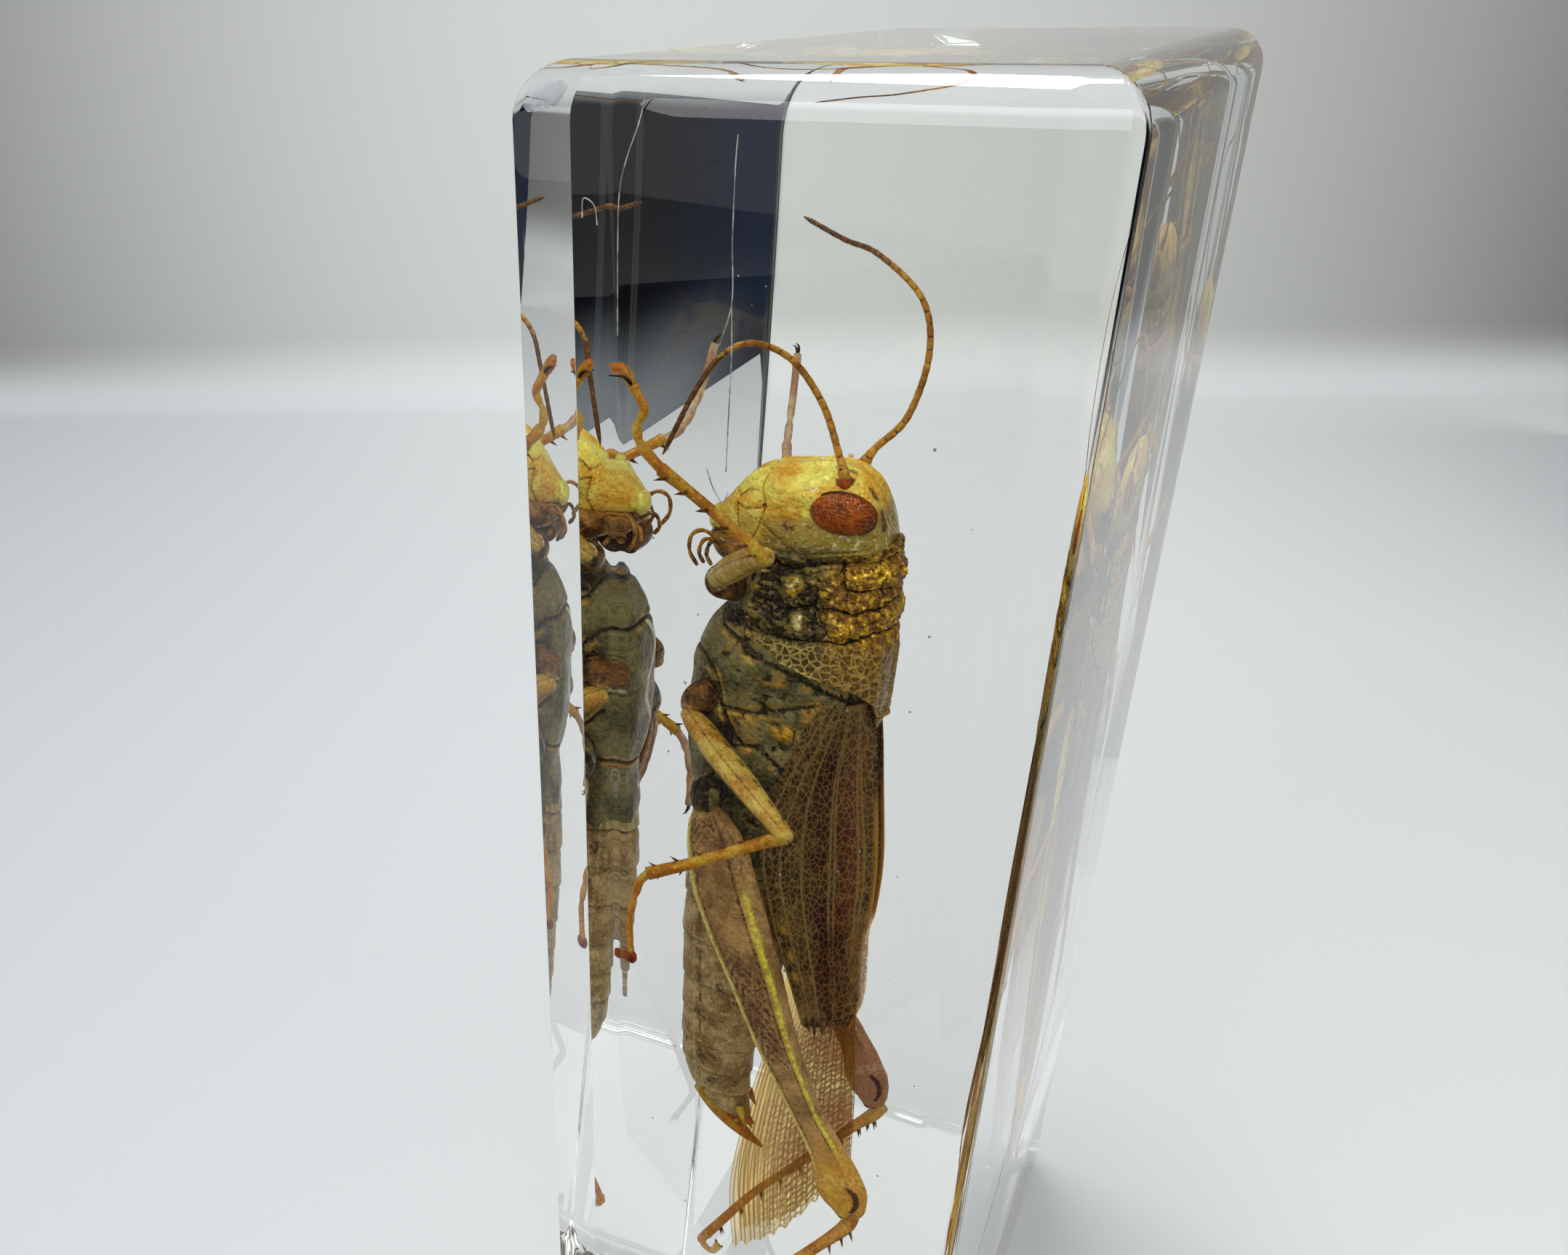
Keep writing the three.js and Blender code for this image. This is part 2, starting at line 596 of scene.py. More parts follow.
def block_ring(faces, inset, height, directions):
    """The section drawn in by `inset`, as one point along each direction from the middle."""
    facing = directions @ faces[:, :2].T
    reach = np.where(facing > 1e-6, (faces[:, 2] - inset) / np.maximum(facing, 1e-6), np.inf)
    outline = directions * reach.min(axis=1)[:, None]
    return np.column_stack([outline, np.full(len(outline), height)])


def build_block():
    """Straight sides, both ends rounded over, and flat ends."""
    faces = block_section()
    corner = math.atan2(WIDTH, THICKNESS)
    angles = [full_turn(720) - math.pi]
    angles.append(np.linspace(-corner - 0.06, -corner + 0.06, 240))
    angles.append(np.linspace(corner - math.pi - 0.08, corner - math.pi + 0.14, 320))
    angles = np.sort(np.concatenate(angles))
    directions = np.column_stack([np.cos(angles), np.sin(angles)])
    levels = []
    for angle in np.linspace(math.pi / 2, 0, 12):
        levels.append((END_RADIUS * (1 - math.cos(angle)), END_RADIUS * (1 - math.sin(angle))))
    rings = [block_ring(faces, END_RADIUS + 0.1, 0, directions)]
    rings += [block_ring(faces, inset, height, directions) for inset, height in levels]
    rings += [block_ring(faces, inset, LENGTH - height, directions) for inset, height in levels[::-1]]
    rings.append(block_ring(faces, END_RADIUS + 0.1, LENGTH, directions))
    index = np.arange(len(rings) * len(angles)).reshape(len(rings), -1)
    ends = [tuple(index[0][::-1].tolist()), tuple(index[-1].tolist())]
    block = shape("resin", (np.vstack(rings), tube_faces(index) + ends), clear_resin())
    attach(block, BODY)
    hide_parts("resin_block")


def clear_resin():
    look = Look("clear_resin")
    surface = look.add("BsdfPrincipled", {
        "Base Color": (1, 1, 1, 1),
        "Roughness": 0.0,
        "IOR": RESIN_IOR,
        "Transmission Weight": 1.0,
    })
    absorption = look.add("VolumeAbsorption", {
        "Color": (0.93, 0.95, 0.90, 1),
        "Density": RESIN_ABSORPTION / MM,
    })
    return look.finish(surface.outputs[0], absorption.outputs[0])


# ---------------------------------------------------------------- parts that repeat on the insect

def ripple(points, scale, seed):
    """Smooth random numbers from -1 to 1 that change over about 1 / scale millimetres."""
    lattice = np.random.default_rng(seed).uniform(-1, 1, (24, 24, 24))
    place = np.asarray(points) * scale
    corner = np.floor(place).astype(int)
    part = place - corner
    part = part * part * (3 - 2 * part)
    total = 0.0
    for step in np.ndindex(2, 2, 2):
        x, y, z = ((corner[..., axis] + step[axis]) % 24 for axis in range(3))
        weight = 1.0
        for axis in range(3):
            weight = weight * (part[..., axis] if step[axis] else 1 - part[..., axis])
        total = total + weight * lattice[x, y, z]
    return total


def cone(base, tip, radius, sides=6):
    line = np.linspace(base, tip, 4)
    radii = radius * np.array([1.0, 0.75, 0.4, 0.05])
    return closed_tube(rings_along(line, radii, radii, sides, (0.3, 0.9, 0.2)))


def spines(line, count, length, radius, aims, start=0.15, end=0.95):
    """Two rows of spines along a shin, each leaning towards its tip."""
    rows = curve(line, 60)[:, :3]
    parts = []
    for aim in aims:
        for place in np.linspace(start, end, count):
            index = int(place * 58)
            along = unit(rows[index + 1] - rows[index])
            out = unit(np.asarray(aim, float) - along * np.dot(aim, along))
            reach = length * random.uniform(0.85, 1.1)
            tip = rows[index] + out * reach + along * reach * 0.55
            parts.append(cone(rows[index] + out * radius * 0.6, tip, radius * 0.42))
    return joined(parts)


def claws(tip, forward, sideways, length):
    """A pair of curved claws."""
    forward = unit(np.asarray(forward, float))
    sideways = unit(np.asarray(sideways, float))
    down = np.cross(forward, sideways)
    parts = []
    for side in (-1, 1):
        line = [
            tip,
            tip + length * (0.45 * forward + side * 0.35 * sideways),
            tip + length * (0.85 * forward + side * 0.5 * sideways + 0.15 * down),
            tip + length * (1.05 * forward + side * 0.5 * sideways + 0.5 * down),
        ]
        radii = length * np.array([0.15, 0.14, 0.09, 0.02])
        stations = np.column_stack([line, radii, radii])
        parts.append(closed_tube(sweep(stations, 8, 12, sideways)))
    return joined(parts)


def foot(name, line, radius, looks, sideways=(0, 1, 0), pad=(), skin="foot"):
    """Three joints with swollen ends and soft pads under them, and a pair of claws."""
    rows = curve(line, 46)
    place = np.linspace(0, 1, 46)
    waist = 1 - 0.32 * bell(place, 0.34, 0.035) - 0.34 * bell(place, 0.55, 0.035)
    swell = 1 + 0.18 * bell(place, 0.28, 0.08) + 0.2 * bell(place, 0.97, 0.06)
    radii = radius * waist * swell * (1 - 0.22 * place)
    tube(name, rings_along(rows, radii, radii * 0.85, 14, sideways), looks[skin])
    tip, before = rows[-1], rows[-6]
    forward = unit(tip - before)
    if pad:
        across = unit(np.cross(forward, sideways))
        turn = np.column_stack([across, sideways, forward])
        round_pad = ball(tip + forward * pad[2] * 0.7, pad, turn=turn)
        piece(name + "_pad", round_pad, looks["socket" if pad[0] > 0.3 else skin])
    piece(name + "_claws", claws(tip, forward, sideways, radius * 2.0), looks["claw"])


# ---------------------------------------------------------------- head

HEAD = [
    (-8.25, 52.1, 52.6, 0.6, 2.2),
    (-7.9, 51.8, 53.0, 1.1, 2.3),
    (-7.3, 51.5, 53.7, 1.5, 2.4),
    (-6.8, 51.3, 54.3, 1.8, 2.5),
    (-6.0, 51.1, 54.95, 2.15, 2.6),
    (-5.0, 50.9, 55.35, 2.4, 2.7),
    (-3.7, 50.9, 55.6, 2.6, 2.7),
    (-2.6, 50.9, 55.75, 2.7, 2.6),
    (-1.5, 50.9, 55.65, 2.65, 2.4),
    (-0.6, 51.0, 55.15, 2.45, 2.3),
    (0.0, 51.2, 54.2, 2.1, 2.2),
    (0.4, 51.8, 53.0, 1.4, 2.0),
]
EYE = (-1.55, 1.85, 54.0)
EYE_RADII = (1.5, 0.7, 0.95)
FAR_EYE = (-1.95, 6.9, 53.7)
SOCKET = (-1.75, 2.55, 55.35)


def build_head(looks):
    points, faces = closed_tube(barrel(HEAD, "X", 200, 200))
    seams = [
        [(-5.35, 55.3), (-5.5, 54.6), (-5.2, 53.7), (-5.5, 52.6), (-5.9, 51.8)],
        [(-5.2, 53.7), (-6.2, 53.4), (-6.7, 53.6)],
        [(-6.9, 54.1), (-6.6, 53.9), (-6.2, 54.3), (-5.7, 54.4)],
        [(-6.7, 53.6), (-6.5, 52.5), (-6.9, 51.6)],
        [(-5.3, 52.9), (-4.6, 52.5), (-3.6, 51.7)],
        [(-5.0, 51.6), (-3.0, 51.75), (-0.4, 52.4)],
    ]
    folds = [
        [(-5.0, 54.4), (-4.0, 54.5), (-3.0, 54.9)], [(-5.0, 53.6), (-4.2, 53.9), (-3.4, 54.0)],
        [(-4.9, 53.2), (-4.2, 53.4), (-3.6, 53.3)],
    ]
    crown = [
        (-6.6, 54.7), (-5.6, 55.3), (-3.7, 55.6), (-2.4, 55.75), (-1.0, 55.5), (-0.1, 54.4), (0.2, 53.3),
    ]
    groove = strokes(points, seams, 0.055)
    fold = strokes(points, folds, 0.07)
    x, z = points[:, 0], points[:, 2]
    beside = np.abs(points[:, 1] - MIDDLE)
    outward = away_from(points, None, MIDDLE, 53.3)
    brow = spot(points, -3.9, 54.7, 1.5, 0.5) + spot(points, -5.0, 54.9, 0.4, 0.4)
    cheek = spot(points, -3.6, 52.6, 1.6, 0.5)
    lift = (
        0.14 * bell(beside, 0.6, 0.16) * (z > 54.4) - 0.16 * groove - 0.06 * fold
        + 0.1 * brow + 0.12 * cheek
        + 0.05 * ripple(points, 1.3, 3) + 0.03 * ripple(points, 3.1, 4)
    )
    points = points + outward * lift[:, None]
    net = np.abs(ripple(points, 1.9, 8)) + 0.5 * np.abs(ripple(points, 4.2, 9))
    x, z = points[:, 0], points[:, 2]
    below = ramp(54.0, 53.2, z - 0.18 * (x + 3)) * ramp(-5.6, -5.0, x)
    stain = ramp(0.0, 0.3, ripple(points, 2.5, 10) + 0.3)
    mark = strongest(
        0.6 * groove, 0.4 * fold,
        0.85 * stroke(points, crown, 0.1) * ramp(0.8, 1.4, beside),
        0.7 * spot(points, -4.0, 53.05, 0.5, 0.22), 0.8 * spot(points, -5.25, 53.75, 0.16, 0.14),
        0.85 * spot(points, SOCKET[0], SOCKET[2], 0.5, 0.35) * stain,
    )
    pale = strongest(
        0.62 * below * ramp(0.42, 0.1, net), 0.5 * spot(points, -3.2, 54.9, 0.6, 0.2),
    )
    shade = strongest(0.8 * below, 0.45 * spot(points, -6.0, 52.8, 0.6, 0.6))
    piece("head", (points, faces), looks["head"], mark=mark, pale=pale, shade=shade)
    for side, name in ((1, "left"), (-1, "right")):
        flip = np.array if side == 1 else far_side
        eye = EYE if side == 1 else FAR_EYE
        piece("eye_" + name, ball(eye, EYE_RADII, 40, 60), looks["eye"])
        angle = np.linspace(0, 2 * math.pi, 25)
        radius = 0.07 + 0 * angle
        rim = np.column_stack([
            eye[0] + 1.5 * np.cos(angle), eye[1] + side * 0.12 + 0 * angle, eye[2] + 0.97 * np.sin(angle),
            radius, radius,
        ])
        tube("eye_rim_" + name, sweep(rim, 8, 90), looks["spine"])
        socket = np.array([
            (*np.add(SOCKET, (0, 0.1, -0.25)), 0.36, 0.3), (*SOCKET, 0.34, 0.3),
            (*np.add(SOCKET, (0, -0.05, 0.2)), 0.24, 0.22),
        ])
        socket[:, :3] = flip(socket[:, :3])
        tube("antenna_socket_" + name, sweep(socket, 18, 10), looks["socket"])
        jaw = np.array([
            (-5.0, 2.6, 51.5, 0.5, 0.6), (-6.1, 2.7, 51.2, 0.75, 0.8), (-7.2, 3.1, 51.3, 0.65, 0.6),
            (-8.0, 3.8, 51.7, 0.25, 0.3),
        ])
        jaw[:, :3] = flip(jaw[:, :3])
        tube("mandible_" + name, sweep(jaw, 20, 26), looks["jaw"])
        for index, line in enumerate(PALPS):
            rows = flip(curve(line, 60))
            place = np.linspace(0, 1, 60)
            joints = np.abs(np.sin(place * math.pi * 4)) ** 0.4
            radii = 0.11 * (0.6 + 0.4 * joints)
            rings = rings_along(rows, radii, radii, 12, (0, 1, 0))
            tube(f"palp_{name}_{index + 1}", rings, looks["jaw"])
    lip = ball((-8.0, MIDDLE, 52.3), (0.45, 0.95, 0.65), 16, 24)
    piece("labrum", lip, looks["head"])
    for index, place in enumerate([(-3.2, 4.4, 55.75), (-2.2, 3.1, 55.8), (-2.2, 5.7, 55.8)]):
        piece(f"ocellus_{index + 1}", ball(place, (0.14, 0.14, 0.1), 8, 12), looks["ocellus"])


PALPS = [
    [(-7.0, 2.3, 51.4), (-7.9, 1.7, 52.2), (-8.5, 1.4, 52.0), (-8.6, 1.4, 51.2), (-8.2, 1.5, 50.5)],
    [(-7.0, 2.6, 51.3), (-7.7, 2.2, 51.6), (-7.9, 2.0, 51.0), (-7.6, 1.9, 50.5)],
    [(-7.6, 3.4, 51.4), (-8.3, 3.0, 51.4), (-8.5, 2.8, 50.8), (-8.2, 2.7, 50.3)],
]

# Each antenna's line, and its radius at the tip.
ANTENNAE = {
    "right": ([
        (-1.7, 5.9, 55.3), (-1.2, 6.1, 56.2), (0, 6.5, 57.7), (0.5, 7.2, 60.4), (-0.2, 7.9, 62.6),
        (-2.4, 8.6, 64.2), (-4.1, 9, 64.7), (-6.1, 9.4, 65.5),
    ], 0.11),
    "left": ([
        (-1.7, 2.5, 55.4), (-2.1, 2.5, 56.5), (-3, 2.5, 58.6), (-4.35, 1.8, 60.5), (-5.95, 1, 61.2),
        (-7.1, 0, 60.7), (-7.85, -1.5, 59.3), (-8.8, -3, 56.7),
    ], 0.12),
}


def build_antennae(looks):
    place, _ = along_and_round(400, 12)
    for name, (line, tip) in ANTENNAE.items():
        rows = curve(line, 400)
        travelled = np.concatenate([[0], np.cumsum(np.linalg.norm(np.diff(rows, axis=0), axis=1))])
        joint = np.abs(np.sin(travelled * math.pi / 0.55))
        radii = np.linspace(0.19, tip, 400) * (0.84 + 0.16 * joint ** 0.5)
        radii *= 1 + 0.5 * bell(travelled, 0.35, 0.35)
        radii[-10:] *= np.linspace(1, 0.3, 10)
        joints = np.append(np.repeat(joint, 12), [1, 1])
        mark = strongest(0.7 * (1 - joints) ** 2, 0.7 * ramp(0.5, 0.8, place))
        tube("antenna_" + name, rings_along(rows, radii, radii, 12, (0, 1, 0)), looks["antenna"], mark=mark)


# ---------------------------------------------------------------- thorax and abdomen

def build_pronotum(looks):
    """A saddle over the back, cut by dark grooves, with its rear edge drawn out to a point."""
    around = np.linspace(-1, 1, 201)
    along = np.linspace(0, 1, 140)[:, None]
    reach = np.abs(around) * np.ones_like(along)
    front = 52.6 - 1.0 * reach ** 1.5
    rear = np.interp(reach, [0, 0.1, 0.28, 0.5, 0.8, 0.93, 1], [42.9, 43.7, 44.9, 45.6, 46.1, 46.6, 47.6])
    z = front + (rear - front) * along
    crest = np.interp(z, [42.9, 44.2, 45.1, 47.6, 49.4, 51.1, 52.6], [0.4, 0.9, 1.0, 1.05, 1.0, 0.9, 0.6])
    margin = np.interp(z, [42.9, 46.0, 46.9, 48.4, 49.7, 51.6], [-4.8, -4.9, -5.3, -5.5, -5.3, -4.7])
    half = np.interp(z, [42.9, 46, 49.5, 52.6], [3.5, 3.55, 3.2, 2.75])
    angle = reach * math.pi / 2
    x = margin + (crest - margin) * np.cos(angle) ** 0.62
    y = MIDDLE + np.sign(around) * half * np.sin(angle) ** 0.72
    grid = np.stack([x, y, z], -1)
    outward = away_from(grid, -2.5, MIDDLE, None)
    sulci = [
        [(-5.0, 51.25), (-2.6, 51.4), (-1.6, 51.7), (1.2, 52.0)], [(-1.2, 51.6), (-1.0, 50.5), (1.4, 50.6)],
        [(-5.0, 49.4), (-3.6, 49.35), (-2.5, 49.5), (-0.6, 49.4), (1.4, 50.0)],
        [(-4.8, 47.9), (-3.4, 47.8), (-2.4, 47.9), (-0.8, 48.0), (1.5, 48.7)],
        [(-2.4, 50.6), (-2.2, 49.5)],
    ]
    ragged = grid + 0.12 * np.stack([
        ripple(grid, 2.0, 12), 0 * z, ripple(grid, 2.0, 13),
    ], -1)
    groove = strokes(ragged, sulci, 0.13)
    margin_line = [(-4.6, 51.5), (-5.2, 49.7), (-5.4, 48.4), (-5.2, 46.9), (-3.9, 46.6), (-2.6, 46.2),
                   (-0.35, 45.3), (0.9, 44.0)]
    edge = stroke(grid, margin_line, 0.16)
    carina = bell(reach, 0.3, 0.018) * ramp(44, 46, z) + bell(reach, 0, 0.012)
    boss = strongest(spot(grid, -1.9, 50.6, 0.75, 0.55), spot(grid, 0.3, 51.2, 0.8, 0.5),
                     spot(grid, 0.2, 49.3, 0.9, 0.45), spot(grid, -3.4, 50.4, 0.5, 0.5),
                     spot(grid, -3.0, 48.8, 0.4, 0.45), spot(grid, -1.0, 48.7, 0.7, 0.4))
    bumps = np.abs(ripple(grid, 2.3, 5)) + 0.6 * np.abs(ripple(grid, 5.1, 6))
    front_part = ramp(47.4, 48.2, z)
    lift = 0.2 * boss + 0.14 * carina - 0.3 * groove + 0.16 * edge - 0.22 * bumps * front_part
    collar = ramp(0.07, 0.02, along) * 0.12
    grid = grid + outward * (lift + collar)[..., None]
    back = ramp(-2.6, -0.6, x)
    fleck = np.abs(ripple(grid, 3.4, 15)) + 0.6 * np.abs(ripple(grid, 7.0, 16))
    shine = ramp(0.5, 0.22, fleck)
    layers = {
        "mark": strongest(
            0.95 * groove, 0.5 * ramp(0.055, 0.02, along + 0 * z),
            0.75 * front_part * (1 - back) * ramp(0.12, 0.35, bumps) * (1 - boss),
            0.6 * front_part * ramp(0.55, 0.9, bumps),
        ),
        "pale": strongest(
            0.8 * spot(grid, -3.35, 50.5, 0.4, 0.45) * ramp(0.5, 0.2, bumps),
            0.8 * spot(grid, -3.0, 48.75, 0.22, 0.45), 0.75 * edge * (1 - back),
        ),
        "back": back,
        # Painted glints: golden highlights painted on flecks over the back, on the bosses and along the
        # rear edge.
        "gold": strongest(back * shine * (0.35 + 0.65 * front_part), 0.9 * boss * shine, 0.7 * edge),
        "net": ramp(48.1, 47.4, z) * (1 - 0.35 * back),
    }
    piece("pronotum", plate(grid, 0.14), looks["pronotum"], **twice(layers))


THORAX = [
    (52.0, -5.9, -0.6, 2.1, 2.4),
    (50.5, -6.3, -0.1, 2.6, 2.6),
    (48.7, -6.8, 0.1, 2.9, 2.8),
    (47.5, -7.8, 0.2, 3.1, 2.9),
    (46.2, -8.35, 0.2, 3.3, 3.1),
    (44.7, -8.65, 0.1, 3.35, 3.2),
    (42.5, -8.7, 0.0, 3.4, 3.2),
    (40.6, -8.65, -0.3, 3.4, 3.1),
    (38.7, -8.35, -0.9, 3.25, 2.9),
    (37.5, -8.15, -1.2, 3.05, 2.7),
    (36.2, -8.3, -1.4, 2.8, 2.6),
    (34.6, -8.3, -1.6, 2.5, 2.4),
    (33.2, -8.2, -1.9, 2.1, 2.2),
]


def build_thorax(looks):
    points, faces = closed_tube(barrel(THORAX, "Z", 200, 200))
    seams = [
        [(-8.6, 46.2), (-7.6, 45.9), (-6.9, 45.2), (-6.6, 43.6), (-5.9, 42.6), (-5.4, 41.9)],
        [(-6.6, 43.6), (-4.9, 43.6), (-3.0, 44.2), (-1.8, 44.6)],
        [(-7.2, 49.2), (-7.3, 48.2), (-6.9, 47.6), (-5.6, 47.1), (-4.9, 46.6)],
        [(-6.0, 41.6), (-4.6, 41.9), (-3.4, 41.2), (-2.4, 40.0)],
        [(-7.9, 41.6), (-7.0, 40.6), (-5.6, 40.2), (-4.6, 38.8), (-4.4, 37.4)],
        [(-8.3, 38.2), (-6.9, 38.9), (-6.2, 38.2), (-6.6, 37.2)],
    ]
    # Painted shadow: a dark line on the thorax along the pronotum's rear edge, where the pronotum shades
    # it.
    shadow_under_pronotum = [(-5.5, 48.6), (-5.5, 46.7), (-3.9, 46.3), (-2.6, 45.9), (-0.35, 45.0), (0.7, 43.8)]
    groove = strokes(points, seams, 0.12)
    outward = away_from(points, -4.2, MIDDLE, None)
    cavity = strongest(spot(points, -7.5, 43.9, 0.85, 1.3), spot(points, -6.3, 42.3, 0.6, 0.5),
                       spot(points, -7.0, 38.4, 0.9, 0.8), spot(points, -7.2, 49.6, 0.9, 0.9))
    pitted = ramp(-7.3, -6.4, points[:, 0])
    pits = ramp(0.28, 0.6, ripple(points, 3.0, 21)) * pitted
    lift = -0.18 * groove - 0.3 * cavity - 0.16 * pits + 0.07 * ripple(points, 1.1, 22)
    lift += 0.14 * spot(points, -5.4, 45.4, 1.4, 0.9) + 0.12 * spot(points, -3.4, 42.9, 0.9, 0.5)
    points = points + outward * lift[:, None]
    under = ramp(-8.0, -8.4, points[:, 0])
    # Painted highlight: a pale wavy streak along the underside.
    streak = under * np.exp(-((points[:, 1] - 4.9 - 0.7 * np.sin(points[:, 2] * 1.3)) / 0.3) ** 2)
    mark = strongest(
        0.9 * groove, 0.9 * cavity, 0.75 * pits, 0.85 * spot(points, -6.3, 48.2, 0.9, 0.55),
        # The stroke along the pronotum's edge is painted shadow.
        0.8 * stroke(points, shadow_under_pronotum, 0.2), 0.45 * ramp(42.6, 40.6, points[:, 2]) * pitted,
    )
    pale = strongest(
        0.9 * streak,
        0.9 * spot(points, -7.78, 44.44, 0.2, 0.16), 0.6 * spot(points, -5.95, 48.25, 0.16, 0.12),
        0.5 * stroke(points, [(-7.4, 48.4), (-7.0, 47.8), (-5.6, 47.3)], 0.09),
    )
    # Painted glints: golden highlights beside the seams, on a bump and in patches over the pitted side.
    rim = strongest(*[bell(distance_to(points, line), 0.24, 0.07) for line in seams])
    gold = strongest(
        0.9 * spot(points, -3.1, 43.0, 0.7, 0.42) * (1 - pits),
        0.75 * rim * ramp(-0.1, 0.4, ripple(points, 1.2, 24)),
        0.4 * ramp(0.1, 0.5, ripple(points, 2.2, 25)) * (1 - pits) * pitted,
    )
    piece("thorax", (points, faces), looks["pleura"], mark=mark, pale=pale, gold=gold)


ABDOMEN = [
    (35.6, -8.2, -1.6, 2.3, 2.3),
    (33.0, -8.4, -1.8, 2.45, 2.3),
    (30.8, -8.4, -2.2, 2.4, 2.2),
    (28.9, -8.4, -2.6, 2.35, 2.2),
    (26.2, -8.2, -3.1, 2.3, 2.2),
    (24.2, -8.1, -3.5, 2.2, 2.2),
    (22.2, -8.0, -3.8, 2.1, 2.2),
    (20.5, -7.8, -3.9, 1.9, 2.1),
    (19.2, -7.3, -3.9, 1.65, 2.0),
    (18.3, -6.7, -3.8, 1.3, 2.0),
    (17.7, -6.0, -3.7, 0.9, 2.0),
]
SEGMENT_EDGES = np.array([36.0, 34.0, 31.6, 29.1, 26.4, 24.3, 22.4, 20.65, 19.2, 17.4])


def build_abdomen(looks):
    """Nine rings, each with its rear edge over the next one's front."""
    points, faces = closed_tube(barrel(ABDOMEN, "Z", 140, 300))
    z = points[:, 2]
    index = np.clip(np.searchsorted(-SEGMENT_EDGES, -z) - 1, 0, len(SEGMENT_EDGES) - 2)
    start, end = SEGMENT_EDGES[index], SEGMENT_EDGES[index + 1]
    part = (start - z) / (start - end)
    middle_x = np.interp(z, [17.5, 24, 35], [-5.0, -5.8, -5.0])
    outward = away_from(points, middle_x, MIDDLE, None)
    step = 0.17 * (ramp(0, 0.25, part) - 1) + 0.10 * part
    pleural_x = np.interp(z, [20.8, 33.5], [-6.5, -7.3])
    fold = bell(points[:, 0], pleural_x, 0.16)
    points = points + outward * (step - 0.14 * fold + 0.035 * ripple(points, 2.2, 31))[:, None]
    spots = fold * (0.5 + 0.5 * np.sin(part * 2 * math.pi - 1.2))
    under = ramp(-7.5, -8.0, points[:, 0])
    dapple = ripple(points, 1.6, 33) + 0.5 * ripple(points, 3.4, 34)
    mark = strongest(
        0.6 * spots, 0.75 * bell(part, 0.0, 0.05), 0.7 * bell(part, 1.0, 0.03),
        0.55 * ramp(0.25, 0.7, dapple) * (1 - under),
    )
    pale = strongest(
        0.4 * bell(part, 0.9, 0.05), 0.5 * under * ramp(0.0, 0.5, ripple(points, 0.8, 35)),
        0.55 * bell(points[:, 0], pleural_x - 0.35, 0.16), 0.6 * ramp(0.5, 0.8, -dapple),
    )
    piece("abdomen", (points, faces), looks["abdomen"], mark=mark, pale=pale)
    valves = {
        "upper": [
            (-5.0, 0.5, 19.0, 1.0, 0.6), (-4.6, 0.45, 18.3, 0.62, 0.45), (-4.1, 0.3, 17.6, 0.36, 0.32),
            (-3.4, 0.2, 16.9, 0.04, 0.06),
        ],
        "lower": [
            (-6.5, 0.5, 18.9, 0.9, 0.6), (-5.8, 0.45, 17.9, 0.8, 0.5), (-4.9, 0.33, 17.0, 0.58, 0.4),
            (-3.9, 0.2, 16.3, 0.32, 0.28), (-2.7, 0.08, 15.7, 0.04, 0.06),
        ],
    }
    for name, line in valves.items():
        for side, side_name in ((-1, "left"), (1, "right")):
            stations = np.array(line)
            stations[:, 1] = MIDDLE + side * stations[:, 1]
            tube(f"ovipositor_{name}_{side_name}", sweep(stations, 16, 24), looks["amber"])
    for side, side_name in ((-1, "left"), (1, "right")):
        cercus = cone((-4.1, MIDDLE + side * 1.2, 18.6), (-3.6, MIDDLE + side * 1.5, 17.5), 0.28, 12)
        piece(f"cercus_{side_name}", cercus, looks["amber"])


# ---------------------------------------------------------------- legs

